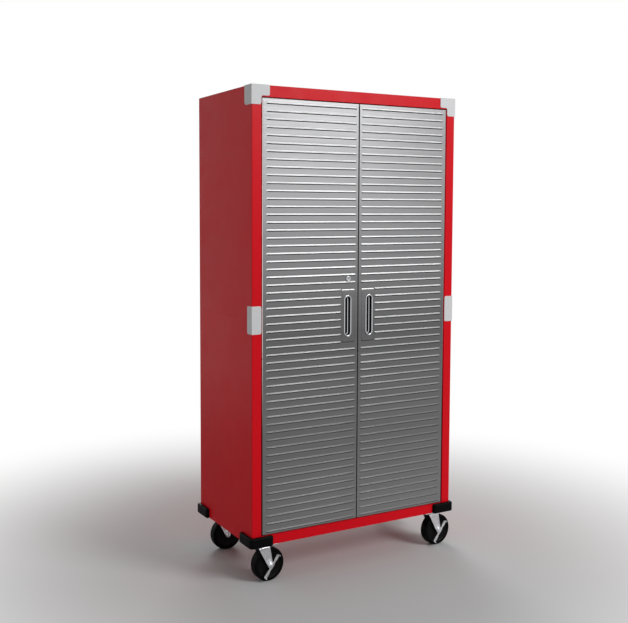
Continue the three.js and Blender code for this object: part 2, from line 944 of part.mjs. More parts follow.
function fork() {
  const front = forkTopShift - forkTopWidth / 2;
  const rear = forkTopShift + forkTopWidth / 2;
  const leg = outline([
    [front, crownUnder],
    [casterTrail - forkBossRadius, axleZ - forkBossRadius, forkBossRadius],
    [casterTrail + forkBossRadius, axleZ - forkBossRadius, forkBossRadius],
    [rear, crownUnder],
    [rear, crownTop],
    [front, crownTop],
  ]);
  const crown = block([front, rear], [-legOuter, legOuter], [crownUnder, crownTop]);
  const dish = prism("z", circle(0, 0, forkDishRadius, raceSides), [crownUnder, dishTop]);
  const kingpinWay = prism("z", roundHole(0, 0, kingpinRadius), [
    crownUnder - overrun,
    dishTop + overrun,
  ]);
  const axleWay = prism("y", roundHole(casterTrail, axleZ, axleRadius), [
    -legOuter - overrun,
    legOuter + overrun,
  ]);
  return cut(
    joined(
      crown,
      dish,
      prism("y", leg, [-legOuter, -legInner]),
      prism("y", leg, [legInner, legOuter]),
    ),
    kingpinWay,
    axleWay,
  );
}

function wheel() {
  const half = treadWidth / 2;
  const flank = [
    [axleRadius + clearance, hubWidth / 2],
    [hubRadius, hubWidth / 2],
    [hubRadius, half - webRecess],
    [webRadius, half - webRecess],
    [webRadius + rimSlope, half],
    [wheelRadius - shoulderRise, half],
    [wheelRadius, half - shoulder],
  ];
  const farFlank = flank.map(([radius, along]) => [radius, -along]).reverse();
  return turned("y", [casterTrail, axleZ], [...flank, ...farFlank, flank[0]], wheelSides);
}

function axle(withLever) {
  const head = withLever ? leverOuter + clearance : legOuter + clearance;
  const nut = legOuter + clearance;
  const profile = [
    [0, -head - axleHeadHeight],
    [axleHeadRadius, -head - axleHeadHeight],
    [axleHeadRadius, -head],
    [axleRadius, -head],
    [axleRadius, nut],
    [axleHeadRadius, nut],
    [axleHeadRadius, nut + axleHeadHeight],
    [0, nut + axleHeadHeight],
  ];
  return turned("y", [casterTrail, axleZ], profile);
}

// A brake lever that rocks on the axle: a straight bar beside its hub, with a pedal turned
// outwards at each end
function brakeLever() {
  const near = leverArmWidth / 2 - leverArmOffset;
  const far = -leverArmWidth / 2 - leverArmOffset;
  const bar = outline([
    [-leverLowerReach, far],
    [leverUpperReach, far],
    [leverUpperReach, near],
    [-leverLowerReach, near],
  ]);
  const hub = circle(0, 0, leverHubRadius, raceSides);
  const span = [-leverOuter, -leverInner];
  const pedal = (x) =>
    block([x, x + pedalThickness], [-leverOuter - pedalDepth, -leverInner], [far, near]);
  const hole = prism("y", roundHole(0, 0, axleRadius), [
    -leverOuter - overrun,
    -leverInner + overrun,
  ]);
  return cut(
    joined(
      prism("y", bar, span),
      prism("y", hub, span),
      pedal(-leverLowerReach),
      pedal(leverUpperReach - pedalThickness),
    ),
    hole,
  )
    .rotateY(-leverLean)
    .translate(casterTrail, 0, axleZ);
}

// Assembly
function add(group, name, geometry, material) {
  const mesh = new THREE.Mesh(geometry, material);
  mesh.name = name;
  group.add(mesh);
}

const cabinet = new THREE.Group();
const body = new THREE.Group();
body.position.z = casterHeight;
cabinet.add(body);

const sides = { left: new THREE.Group(), right: new THREE.Group() };
sides.right.scale.x = -1;
body.add(sides.left, sides.right);

add(body, "top_panel", topPanel(), redPaint());
add(body, "base_frame", baseFrame(), redPaint());
add(body, "back_lower", backPanel([0, middle - seamGap / 2]), redPaint());
add(body, "back_upper", backPanel([middle + seamGap / 2, sheetTop]), redPaint());
add(body, "magnetic_catch", magneticCatch(), blackPlastic());
for (let index = 1; index <= shelfCount; index++) {
  add(body, `shelf_${index}`, shelf(clipTop(index) + clearance), shelfPaint());
}

for (const [hand, side] of Object.entries(sides)) {
  const locked = hand === "left";
  add(side, `${hand}_side_lower`, sidePanel([0, middle - seamGap / 2]), redPaint());
  add(side, `${hand}_side_upper`, sidePanel([middle + seamGap / 2, sheetTop]), redPaint());
  add(side, `standard_front_${hand}`, standard(standardYs.front), zinc());
  add(side, `standard_rear_${hand}`, standard(standardYs.rear), zinc());
  add(side, `corner_guard_${hand}`, cornerGuard(), guardPlastic());
  add(side, `mid_guard_${hand}`, midGuard(), guardPlastic());
  add(side, `bumper_front_${hand}`, bumper(-1), blackRubber());
  add(side, `bumper_rear_${hand}`, bumper(1), blackRubber());
  add(side, `${hand}_door_lower_skin`, lowerSkin(), stainless());
  add(side, `${hand}_door_upper_skin`, upperSkin(locked), stainless());
  add(side, `${hand}_door_pan`, locked ? pan(true) : panWithGuides(), redPaint());
  add(side, `${hand}_pull`, pull(), chrome());
  add(side, `${hand}_hinge_pin_top`, hingePin(railUnder, doorTop), zinc());
  add(side, `${hand}_hinge_pin_bottom`, hingePin(bottomRailHeight, doorBottom), zinc());
}

add(sides.left, "lock_housing", lockHousing(), chrome());
add(sides.left, "lock_plug", lockPlug(), chrome());
add(sides.left, "lock_cam", lockCam(), zinc());
add(sides.right, "slide_bolt_upper", slideBolt(1), zinc());
add(sides.right, "slide_bolt_lower", slideBolt(-1), zinc());

for (const [place, swing] of Object.entries(casterSwings)) {
  const front = place.startsWith("front");
  const mount = new THREE.Group();
  mount.position.set(
    place.endsWith("left") ? -kingpinX : kingpinX,
    front ? -kingpinY : kingpinY,
    0,
  );
  const swivel = new THREE.Group();
  swivel.rotation.z = swing;
  mount.add(swivel);
  body.add(mount);
  add(mount, `caster_plate_${place}`, casterPlate(), zinc());
  add(swivel, `fork_${place}`, fork(), zinc());
  add(swivel, `wheel_${place}`, wheel(), blackRubber());
  add(swivel, `axle_${place}`, axle(front), zinc());
  if (front) add(swivel, `brake_lever_${place}`, brakeLever(), zinc());
}

export default cabinet;
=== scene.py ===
# Looks of a steel storage cabinet with ribbed stainless doors on swivel casters.
# Metres, +Z up, the floor at zero, the doors facing -Y.
import json
import math

import bmesh
import bpy
from mathutils import Matrix, Vector


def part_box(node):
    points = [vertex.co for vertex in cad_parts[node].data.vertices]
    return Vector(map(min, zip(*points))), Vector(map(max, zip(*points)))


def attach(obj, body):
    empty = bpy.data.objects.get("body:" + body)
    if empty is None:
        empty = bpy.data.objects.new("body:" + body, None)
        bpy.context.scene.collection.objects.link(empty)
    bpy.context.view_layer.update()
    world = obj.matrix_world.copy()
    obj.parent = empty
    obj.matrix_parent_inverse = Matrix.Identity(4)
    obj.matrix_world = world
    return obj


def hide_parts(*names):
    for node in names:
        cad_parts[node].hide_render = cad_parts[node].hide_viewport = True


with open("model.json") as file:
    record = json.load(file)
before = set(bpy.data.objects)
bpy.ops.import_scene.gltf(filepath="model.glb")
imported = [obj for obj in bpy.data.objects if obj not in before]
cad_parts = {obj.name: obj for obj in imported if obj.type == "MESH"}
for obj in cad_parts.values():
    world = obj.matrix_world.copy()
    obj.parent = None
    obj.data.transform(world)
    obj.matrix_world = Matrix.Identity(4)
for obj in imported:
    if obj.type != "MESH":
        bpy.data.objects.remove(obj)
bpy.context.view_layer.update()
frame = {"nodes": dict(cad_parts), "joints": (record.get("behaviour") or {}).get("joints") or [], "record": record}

SIDES = {"left": -1, "right": 1}
CORNERS = ("front_left", "front_right", "rear_left", "rear_right")
BRAKED = CORNERS[:2]
BOXES = {name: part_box(name) for name in frame["nodes"]}
JOINTS = {joint["name"]: joint for joint in frame["joints"]}
SLOTS = {row["node"]: row["material_slot"] for row in frame["record"]["subparts"]}
BODIES = {node: body for body, nodes in frame["record"]["behaviour"]["bodies"].items() for node in nodes}

# Camera, fitted to the photograph
CAMERA_PLACE = (-1.9291, -3.0694, 1.3742)
CAMERA_PITCH = 0.0698
CAMERA_YAW = 0.4876
CAMERA_LENS = 51.39
CAMERA_SENSOR = 36
CAMERA_SHIFT = (0.0853, -0.0567)

# Light, and a floor that turns white with the distance from the object, later where it is seen mirrored
WHITE = (1, 1, 1, 1)
AMBIENT = 0.355
KEY_PLACE = (2.4, -4.4, 3.2)
KEY_SIZE = 2.4
KEY_POWER = 160
BACK_PLACE = (1.6, 3.9, 2.6)
BACK_SIZE = 2.6
BACK_POWER = 85
AIM = (0, 0, 1)
FLOOR_RADIUS = 40
FLOOR_SEGMENTS = 64
FLOOR_ALBEDO = 0.6
FLOOR_FADE = (0.7, 2.3)
MIRRORED_FADE = (1.6, 5.0)

# The brushed steel's grey with a painted reflection that changes it over its height, a painted highlight on the
# ribs' upper slopes and painted shade on their lower ones: (share of the span, screen level)
STEEL_SPAN = (0.15, 1.85)
STEEL_REFLECTION_LEVELS = ((0.0, 154), (0.2, 121), (0.45, 96), (0.62, 117), (0.75, 124), (0.92, 111))
CREST_HIGHLIGHT_LEVELS = ((0.0, 92), (0.25, 98), (0.45, 168), (0.6, 240), (1.0, 252))
FOOT_SHADE_LEVELS = ((0.0, 92), (0.3, 72), (0.5, 40), (0.75, 44), (1.0, 60))

# Where the painted highlight on the ribs' upper slopes, the painted shade on their lower slopes and the painted
# highlight on the doors' outer folds lie
CREST_HIGHLIGHT_FACING = (0.06, 0.4)
FOOT_SHADE_FACING = (-0.4, -0.06)
FOLD_HIGHLIGHT_FACING = (0.2, 0.55)
FOLD_HIGHLIGHT_PLACE = (0.25, 0.3)
FOLD_HIGHLIGHT_SPAN = (0.25, 0.45)

# Patterns of the finishes
NOISE_SPAN = (0.3, 0.7)
GRAIN_STRETCH = (3, 900, 900)
STREAK_STRETCH = (1.2, 160, 160)
SPECK_SPAN = (0.35, 0.65)
# Below this flatness the guards' rounded edges take a painted highlight
GUARD_HIGHLIGHT_FLATNESS = (0.8, 0.96)

# Copies of CAD nodes: radii of their rounded edges, and what counts as an edge or as one place or plane
SHEET_EDGE = 0.00045
PANEL_EDGE = 0.0004
FINE_EDGE = 0.0003
PIN_EDGE = 0.0004
GUARD_EDGE = 0.0011
BUMPER_EDGE = 0.0018
CATCH_EDGE = 0.0015
CAM_EDGE = 0.0005
BOLT_EDGE = 0.0006
EDGE_DEGREES = 38
CREASE_DEGREES = 35
SAME_PLACE = 1e-6
SAME_PLANE = math.radians(0.5)
SLIGHT = 0.0001

# Folds of the side panels, and the round arm ends of the corner guards
SHEET_BEND = 0.0022
SHEET_BEND_STEPS = 5
LONG_EDGE = 0.1
ARM_ROUND = 0.008
ARM_STEPS = 8

# Pressed sheet of the doors
SKIN_SHEET = 0.0008
SKIN_FOLD = 0.012
SKIN_BEND = 0.0016
OUTER_BEND = 0.0032
SKIN_RETURN = 0.0012
BEND_STEPS = 4
RIB_PITCH = 0.02843
RIB_FOOT = 0.0102
RIB_COUNT = 56
LOWER_RIBS = 23
RIB_HALF = 0.0035
RIB_RISE = 0.003
RIB_FULLNESS = 1.3
RIB_OUTER_INSET = 0.0168
RIB_INNER_INSET = 0.0107
RIB_STEPS = 8
FOOT_FLAT = 0.0006
END_STEPS = 4
PAD_RIBS = (24, 31)
PAD_INSET = 0.0128
PAD_WIDTH = 0.060
PAD_MARGIN = 0.002
PAD_RISE = 0.0015
PAD_RADIUS = 0.007
PAD_EDGE = 0.0022
FINE_STEP = 0.002
PAD_LEVEL_STEP = 0.003
WIDE_STEP = 0.06
WIDE_MARGIN = 0.02
LEAST_STEP = 0.00025

# Recessed pulls
PULL_OFFSET = 0.0045
RIM_WIDTH = 0.034
RIM_HEIGHT = 0.159
RIM_BAND = 0.0055
RIM_SHEET = 0.0006
RIM_REACH = (RIM_HEIGHT - RIM_WIDTH) / 2
CROWN_FULLNESS = 0.7
CROWN_STEPS = 10
UNDERCUT = 0.0007
CUP_DEPTH = 0.0145
CUP_WALL = 0.0015
CUP_DRAFT = 0.0003
CUP_FILLET = 0.0015
CUP_CONE = 0.003
CUP_SLOPE = math.radians(30)
FILLET_STEPS = 6
ARC_STEPS = 20
HOLE_GAP = 0.0003
PULL_HOLE = RIM_WIDTH / 2 - RIM_BAND + CUP_WALL + HOLE_GAP

# Lock
LOCK_INSET = 0.0443
LOCK_PITCHES_UP = 1.5
LOCK_RADIUS = 0.0104
LOCK_BARREL = 0.0080
LOCK_BORE = 0.0058
LOCK_ROUND = 0.0009
LOCK_HOLE = 0.0081

# Casters, at rest on the floor: plates, races and nuts
TRAIL = 0.030
WHEEL_RADIUS = 0.0635
AXLE_HEIGHT = WHEEL_RADIUS
PLATE_LENGTH = 0.114
PLATE_WIDTH = 0.094
PLATE_RADIUS = 0.008
PLATE_EDGE = 0.0006
PLATE_STEPS = 6
PLATE_TOP = 0.1521
PLATE_UNDER = 0.1481
PLATE_BOLT_INSET = 0.012
PLATE_BOLT = (0.0062, 0.0040)
KINGPIN_RADIUS = 0.006
KINGPIN_NUT = (0.011, 0.006)
NUT_SUNK = 0.0006
CROWN_TOP = 0.1375
CROWN_UNDER = 0.1345
RACE_RADIUS = 0.032
RACE_UNDER = 0.1421

# Bolt heads: (share of the radius, share of the height), and the washer by shares of the same
HEX_PROFILE = ((0.86, 0.2), (0.86, 0.82), (0.74, 1), (0.36, 1), (0.30, 0.86))
HEX_WASHER = 0.25
HEX_BORE = 0.4
HEX_ROUND = 0.3

# Rounded edges of the upper race and of the dish below it: (from its radius, from its level)
RACE_TOP_EDGE = ((-0.002, 0.0005), (0, -0.0012))
RACE_LOW_EDGE = ((0, 0.002), (-0.0006, 0.0007), (-0.002, 0))
DISH_RADIUS = 0.029
DISH_TOP = 0.1415
DISH_GAP = 0.0005
DISH_TOP_EDGE = ((-0.004, 0), (-0.0015, -0.0006), (0, -0.002))
DISH_LOW_EDGE = ((-0.0003, -0.0004), (-0.003, -0.0014))

# Forks, with a panel and a rib line pressed into each leg, placed by shares of the leg's width
FORK_SHEET = 0.003
FORK_EDGE = 0.0005
FORK_EDGES = (-0.0185, 0.0285)
FORK_HALF = 0.0236
FORK_BEND = 0.007
FORK_BEND_STEPS = 5
CROWN_HOLE = KINGPIN_RADIUS + 0.0025
BOSS_RADIUS = 0.011
PANEL_DEPTH = 0.0017
PANEL_SPAN = (0.09, 0.93)
PANEL_EASE = 0.09
LINE_SHARE = 0.64
LINE_HALF = 0.05
LINE_DEPTH = 0.45
BOSS_FLAT = 0.015
BOSS_EASE = 0.008
CROWN_EASE = 0.006

# Mesh lines of a fork: steps along it, the boss's in degrees, and across it (from, to, number of steps)
CROWN_STEP = 0.003
LEG_STEP = 0.004
BOSS_ANGLES = (7, 18, 30, 42, 54, 66, 78)
LEG_LINES = ((0.09, 0.18, 6), (0.18, 0.59, 7), (0.59, 0.69, 8), (0.69, 0.84, 3), (0.84, 0.93, 6))

# Axles, wheels and brake levers
AXLE_RADIUS = 0.006
AXLE_HEAD = (0.009, 0.005)
AXLE_GAP = 0.0004
HEAD_GAP = 0.0003
TREAD_HALF = 0.017
HUB_HALF = 0.020
LEVER_LEAN = math.radians(53.5)
LEVER_SHEET = 0.003
LEVER_Y = -0.0254
LEVER_ENDS = (-0.0515, 0.0465)
LEVER_WIDTH = (-0.0130, -0.0010)
LEVER_NECK = (0.006, 0.018)
LEVER_NECK_END = 0.030
LEVER_WAIST = 0.0022
LEVER_OUT = 0.0075
LEVER_HUB = 0.012
LEVER_EDGE = 0.0009
LEVER_ROUND = 0.0008
LEVER_STEP = 0.003
TIP_SHARE = 0.25
TIP_LENGTH = 0.9
TIP_STEPS = 6
LEVER_BEND_STEPS = 4
LEVER_LINES = 4

# One half of a wheel's core and of its tread: (radius, distance from the middle plane)
WHEEL_CORE = (
    (AXLE_RADIUS + AXLE_GAP, HUB_HALF),
    (0.0135, HUB_HALF),
    (0.0147, 0.0188),
    (0.0153, 0.0138),
    (0.0175, 0.0122),
    (0.0440, 0.0120),
    (0.0462, 0.0127),
    (0.0485, 0.0158),
    (0.0498, 0.0165),
    (0.0506, 0.0155),
    (0.0508, 0.0100),
)
WHEEL_TREAD = (
    (0.0500, 0.0090),
    (0.0512, 0.0158),
    (0.0520, 0.0167),
    (0.0540, TREAD_HALF),
    (0.0598, TREAD_HALF),
    (0.0613, 0.0166),
    (0.0626, 0.0155),
    (0.0633, 0.0138),
    (WHEEL_RADIUS, 0.0110),
    (WHEEL_RADIUS, 0.0050),
)


def srgb(red, green, blue):
    """A colour given as it looks on a screen, 0 to 255, as linear numbers."""
    def line(value):
        share = value / 255
        return share / 12.92 if share <= 0.04045 else ((share + 0.055) / 1.055) ** 2.4

    return (line(red), line(green), line(blue), 1)


def added(name, data):
    """A new object of the scene."""
    made = bpy.data.objects.new(name, data)
    bpy.context.scene.collection.objects.link(made)
    return made


# Camera
camera = added("camera", bpy.data.cameras.new("camera"))
bpy.context.scene.camera = camera
camera.location = CAMERA_PLACE
camera.rotation_euler = (math.pi / 2 - CAMERA_PITCH, 0, -CAMERA_YAW)
camera.data.lens = CAMERA_LENS
camera.data.sensor_width = CAMERA_SENSOR
camera.data.shift_x, camera.data.shift_y = CAMERA_SHIFT
bpy.context.scene.view_settings.view_transform = "Standard"


class Nodes:
    """Short calls that add shader nodes to one tree."""

    def __init__(self, tree):
        self.tree = tree

    def add(self, kind, **settings):
        """A new node of this kind, with its settings."""
        node = self.tree.nodes.new("ShaderNode" + kind)
        for name, value in settings.items():
            setattr(node, name, value)
        return node

    def feed(self, socket, value):
        """Sets a socket to a constant, or links an output to it."""
        if isinstance(value, (int, float, tuple)):
            socket.default_value = value
        else:
            self.tree.links.new(value, socket)

    def math(self, operation, *values):
        """The result of a sum on constants or outputs."""
        node = self.add("Math", operation=operation)
        for socket, value in zip(node.inputs, values):
            self.feed(socket, value)
        return node.outputs[0]

    def span(self, value, inside, outside=(0, 1), kind="LINEAR"):
        """The value taken from one range to another, and kept within it."""
        node = self.add("MapRange", interpolation_type=kind)
        self.feed(node.inputs["Value"], value)
        for name, number in zip(("From Min", "From Max", "To Min", "To Max"), (*inside, *outside)):
            node.inputs[name].default_value = number
        return node.outputs["Result"]

    def blend(self, share, first, second, kind="MIX"):
        """A colour that goes from the first to the second with the share."""
        node = self.add("Mix", data_type="RGBA", blend_type=kind)
        for socket, value in zip((node.inputs["Factor"], *node.inputs[6:8]), (share, first, second)):
            self.feed(socket, value)
        return node.outputs[2]

    def grey_ramp(self, value, levels, blue=0):
        """A grey for the value, from rising (value, screen level) rows, with some more blue if asked."""
        node = self.add("ValToRGB")
        self.feed(node.inputs[0], value)
        elements = node.color_ramp.elements
        elements.remove(elements[-1])
        for index, (place, level) in enumerate(levels):
            element = elements.new(place) if index else elements[0]
            element.position = place
            element.color = srgb(level, level, level + blue)
        return node.outputs[0]

    def straight(self):
        """1 for the rays that come from the camera."""
        return self.add("LightPath").outputs["Is Camera Ray"]

    def mirrored(self):
        """1 for the rays that come by a mirror or through glass."""
        path = self.add("LightPath")
        return self.math("MAXIMUM", path.outputs["Is Glossy Ray"], path.outputs["Is Transmission Ray"])

    def close(self, output, share, first, second):
        """Ends the tree in a mix of two shaders."""
        mixed = self.add("MixShader")
        for socket, value in zip(mixed.inputs, (share, first.outputs[0], second.outputs[0])):
            self.feed(socket, value)
        self.feed(self.add(output).inputs[0], mixed.outputs[0])


# Stage
def make_world():
    """A soft light from all sides, which is seen and mirrored as white."""
    world = bpy.data.worlds.new("studio")
    bpy.context.scene.world = world
    world.use_nodes = True
    world.node_tree.nodes.clear()
    nodes = Nodes(world.node_tree)
    light = nodes.add("Background")
    nodes.feed(light.inputs["Strength"], AMBIENT)
    nodes.feed(light.inputs["Color"], WHITE)
    shown = nodes.add("Background")
    nodes.feed(shown.inputs["Color"], WHITE)
    nodes.close("OutputWorld", nodes.math("MAXIMUM", nodes.straight(), nodes.mirrored()), light, shown)


def floor_material():
    """A plain floor, which far from the object is seen as white."""
    material = bpy.data.materials.new("floor")
    material.use_nodes = True
    material.node_tree.nodes.clear()
    nodes = Nodes(material.node_tree)
    plain = nodes.add("BsdfDiffuse")
    nodes.feed(plain.inputs["Color"], (FLOOR_ALBEDO, FLOOR_ALBEDO, FLOOR_ALBEDO, 1))
    length = nodes.add("VectorMath", operation="LENGTH")
    nodes.feed(length.inputs[0], nodes.add("NewGeometry").outputs["Position"])
    shares = []
    for fade, rays in ((FLOOR_FADE, nodes.straight()), (MIRRORED_FADE, nodes.mirrored())):
        far = nodes.span(length.outputs["Value"], fade, kind="SMOOTHSTEP")
        shares.append(nodes.math("MULTIPLY", far, rays))
    nodes.close("OutputMaterial", nodes.math("MAXIMUM", *shares), plain, nodes.add("Emission"))
    return material


def make_floor():
    mesh = bpy.data.meshes.new("floor")
    bm = bmesh.new()
    bmesh.ops.create_circle(bm, cap_ends=True, segments=FLOOR_SEGMENTS, radius=FLOOR_RADIUS)
    bm.to_mesh(mesh)
    bm.free()
    mesh.materials.append(floor_material())
    added("floor", mesh)


def make_lamp(name, place, size, power):
    """A round soft lamp that looks at the cabinet's middle."""
    lamp = added(name, bpy.data.lights.new(name, "AREA"))
    lamp.data.shape = "DISK"
    lamp.data.size = size
    lamp.data.energy = power
    lamp.location = place
    lamp.rotation_euler = (Vector(AIM) - Vector(place)).to_track_quat("-Z", "Y").to_euler()


make_world()
make_floor()
make_lamp("key", KEY_PLACE, KEY_SIZE, KEY_POWER)
make_lamp("back", BACK_PLACE, BACK_SIZE, BACK_POWER)


# Finishes
class Finish(Nodes):
    """A material with a Principled shader, whose patterns lie in the cabinet's own frame."""

    def __init__(self, name, color=WHITE, roughness=0.5, metallic=0.0, specular=0.5):
        self.material = bpy.data.materials.new(name)
        self.material.use_nodes = True
        super().__init__(self.material.node_tree)
        self.shader = self.tree.nodes["Principled BSDF"]
        self.place = self.add("TexCoord").outputs["Object"]
        self.set("Base Color", color)
        self.set("Roughness", roughness)
        self.set("Metallic", metallic)
        self.set("Specular IOR Level", specular)

    def set(self, name, value):
        self.feed(self.shader.inputs[name], value)

    def noise(self, scale=1, detail=2.0, stretch=(1, 1, 1)):
        mapping = self.add("Mapping")
        self.feed(mapping.inputs["Scale"], stretch)
        self.feed(mapping.inputs["Vector"], self.place)
        node = self.add("TexNoise")
        self.feed(node.inputs["Vector"], mapping.outputs[0])
        self.feed(node.inputs["Scale"], scale)
        self.feed(node.inputs["Detail"], detail)
        return node.outputs["Fac"]

    def spangle(self, scale):
        """A random value for each of the cells that the zinc has grown in."""
        cells = self.add("TexVoronoi")
        self.feed(cells.inputs["Vector"], self.place)
        self.feed(cells.inputs["Scale"], scale)
        parts = self.add("SeparateColor")
        self.feed(parts.inputs[0], cells.outputs["Color"])
        return parts.outputs[0]

    def split(self, vector):
        node = self.add("SeparateXYZ")
        self.feed(node.inputs[0], vector)
        return node.outputs

    def facing(self):
        """The way the surface faces, in the cabinet's own frame."""
        return self.split(self.add("TexCoord").outputs["Normal"])

    def mottle(self, noise, low, high):
        """The base colour, from one to the other as the noise goes."""
        self.set("Base Color", self.blend(noise, low, high))

    def roughen(self, noise, low, high):
        """The roughness, from low to high as the noise goes."""
        self.set("Roughness", self.span(noise, NOISE_SPAN, (low, high)))

    def bump(self, height, depth):
        """A bump of this depth in metres, from a height of 0 to 1."""
        node = self.add("Bump")
        self.feed(node.inputs["Distance"], depth)
        self.feed(node.inputs["Height"], height)
        self.set("Normal", node.outputs["Normal"])


def red_paint():
    finish = Finish("red_paint", roughness=0.3, specular=0.085)
    finish.mottle(finish.noise(scale=2.2, detail=3), srgb(204, 10, 24), srgb(218, 13, 30))
    finish.roughen(finish.noise(scale=14, detail=4), low=0.3, high=0.4)
    finish.bump(finish.noise(scale=300), depth=0.000006)
    return finish.material


def steel_painted_light(finish):
    """The steel's grey with a painted reflection over its height, a painted highlight on the ribs' upper slopes
    and on the doors' outer folds, and painted shade on the ribs' lower slopes.
    """
    places = finish.split(finish.place)
    side, _, up = finish.facing()
    height_share = finish.span(places["Z"], STEEL_SPAN)
    # Painted reflection: the steel's grey changes with the height
    color = finish.grey_ramp(height_share, STEEL_REFLECTION_LEVELS, blue=1)
    # Painted highlight on the ribs' upper slopes, painted shade on their lower slopes
    color = finish.blend(finish.span(up, CREST_HIGHLIGHT_FACING), color, finish.grey_ramp(height_share, CREST_HIGHLIGHT_LEVELS))
    color = finish.blend(finish.span(up, FOOT_SHADE_FACING, (1, 0)), color, finish.grey_ramp(height_share, FOOT_SHADE_LEVELS))
    # Painted highlight along the doors' outer folds, dim low down and near white higher up
    outer = finish.span(finish.math("ABSOLUTE", places["X"]), FOLD_HIGHLIGHT_PLACE)
    fold_highlight = finish.math("MULTIPLY", outer, finish.span(finish.math("ABSOLUTE", side), FOLD_HIGHLIGHT_FACING))
    edge = finish.blend(finish.span(height_share, FOLD_HIGHLIGHT_SPAN), srgb(104, 104, 105), srgb(252, 252, 252))
    return finish.blend(fold_highlight, color, edge)


def stainless():
    finish = Finish("stainless", roughness=0.34, metallic=1.0)
    grain = finish.noise(detail=3, stretch=GRAIN_STRETCH)
    streak = finish.blend(finish.noise(stretch=STREAK_STRETCH), srgb(228, 228, 228), WHITE)
    finish.set("Base Color", finish.blend(1, steel_painted_light(finish), streak, kind="MULTIPLY"))
    finish.roughen(grain, low=0.28, high=0.42)
    finish.bump(grain, depth=0.00004)
    return finish.material


def chrome():
    finish = Finish("chrome", srgb(184, 185, 188), roughness=0.1, metallic=1.0)
    finish.roughen(finish.noise(scale=90, detail=4), low=0.07, high=0.17)
    finish.bump(finish.noise(scale=500), depth=0.00002)
    return finish.material


def zinc():
    finish = Finish("zinc", roughness=0.3, metallic=0.9)
    finish.mottle(finish.spangle(scale=260), srgb(214, 217, 222), srgb(238, 240, 242))
    finish.roughen(finish.noise(scale=120, detail=4), low=0.16, high=0.3)
    finish.bump(finish.noise(scale=700), depth=0.00004)
    return finish.material


def guard_plastic():
    """A speckled grey, with a painted highlight along the rounded edges."""
    finish = Finish("guard_plastic", specular=0.4)
    speck = finish.noise(scale=900, detail=3)
    body = finish.blend(finish.span(speck, SPECK_SPAN), srgb(193, 194, 195), srgb(219, 219, 221))
    flat = [finish.math("ABSOLUTE", way) for way in finish.facing()]
    flattest = finish.math("MAXIMUM", finish.math("MAXIMUM", flat[0], flat[1]), flat[2])
    # Painted highlight: the rounded edges, which face no main way, are lighter
    finish.mottle(finish.span(flattest, GUARD_HIGHLIGHT_FLATNESS, (1, 0)), body, srgb(238, 238, 240))
    finish.roughen(speck, low=0.4, high=0.6)
    finish.bump(speck, depth=0.0001)
    return finish.material


def black_rubber(name, low, high):
    """A matt black with a fine grain, for bumpers and treads."""
    finish = Finish(name, specular=0.06)
    finish.mottle(finish.noise(scale=40, detail=4), low, high)
    finish.roughen(finish.noise(scale=25, detail=3), low=0.38, high=0.58)
    finish.bump(finish.noise(scale=1100), depth=0.00008)
    return finish.material


def shelf_paint():
    finish = Finish("shelf_paint")
    finish.mottle(finish.noise(scale=3, detail=3), srgb(62, 63, 65), srgb(72, 73, 75))
    finish.roughen(finish.noise(scale=30), low=0.42, high=0.55)
    finish.bump(finish.noise(scale=700, detail=3), depth=0.00008)
    return finish.material


def black_plastic():
    finish = Finish("black_plastic", roughness=0.45, specular=0.1)
    finish.mottle(finish.noise(scale=200), srgb(3, 3, 3), srgb(8, 8, 8))
    finish.bump(finish.noise(scale=1500), depth=0.00005)
    return finish.material


FINISHES = {
    "red_paint": red_paint(),
    "shelf_paint": shelf_paint(),
    "stainless": stainless(),
    "chrome": chrome(),
    "zinc": zinc(),
    "guard_plastic": guard_plastic(),
    "bumper_rubber": black_rubber("bumper_rubber", srgb(1, 1, 2), srgb(6, 6, 7)),
    "wheel_rubber": black_rubber("wheel_rubber", srgb(1, 1, 1), srgb(5, 5, 6)),
    "black_plastic": black_plastic(),
}


# Making pieces
def piece_of(name, mesh, body, slot, replaces=(), crease=CREASE_DEGREES):
    """A piece made of this mesh, which rides on the body and wears the slot's finish.

    It is shaded smooth, apart from edges that turn by more than the crease's degrees.
    """
    if crease:
        mesh.shade_smooth()
        mesh.set_sharp_from_angle(angle=math.radians(crease))
    mesh.materials.clear()
    mesh.materials.append(FINISHES[slot])
    piece = added(name, mesh)
    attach(piece, body)
    if replaces:
        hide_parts(*replaces)


def mesh_of(name, bm):
    """A mesh from a bmesh, which is freed."""
    mesh = bpy.data.meshes.new(name)
    bm.to_mesh(mesh)
    bm.free()
    return mesh


def with_modifiers(mesh, *rows):
    """The mesh after modifiers given as (kind, settings)."""
    carrier = added("carrier", mesh)
    for kind, settings in rows:
        modifier = carrier.modifiers.new(kind, kind)
        for name, value in settings.items():
            setattr(modifier, name, value)
    graph = bpy.context.evaluated_depsgraph_get()
    graph.update()
    made = bpy.data.meshes.new_from_object(carrier.evaluated_get(graph))
    bpy.data.objects.remove(carrier)
    return made


def sheet(thickness, offset=-1):
    """A surface made into sheet of this thickness, inwards if the offset isn't given."""
    return "SOLIDIFY", {"thickness": thickness, "offset": offset}


def rounding(width, segments=2, degrees=EDGE_DEGREES):
    """A bevel of all edges that turn by more than these degrees."""
    settings = {"width": width, "segments": segments}
    settings.update(limit_method="ANGLE", angle_limit=math.radians(degrees))
    return "BEVEL", settings


def cut_by(cutter):
    """A cut that takes away what the cutter holds."""
    return "BOOLEAN", {"object": cutter, "operation": "DIFFERENCE", "solver": "EXACT"}


FLATTER = ("WEIGHTED_NORMAL", {"mode": "FACE_AREA", "weight": 100, "keep_sharp": True})


def strip(bm, rings, closed=True):
    """Faces between successive rings of vertices."""
    for near, far in zip(rings, rings[1:]):
        for index in range(len(near) if closed else len(near) - 1):
            following = (index + 1) % len(near)
            bm.faces.new((near[index], near[following], far[following], far[index]))


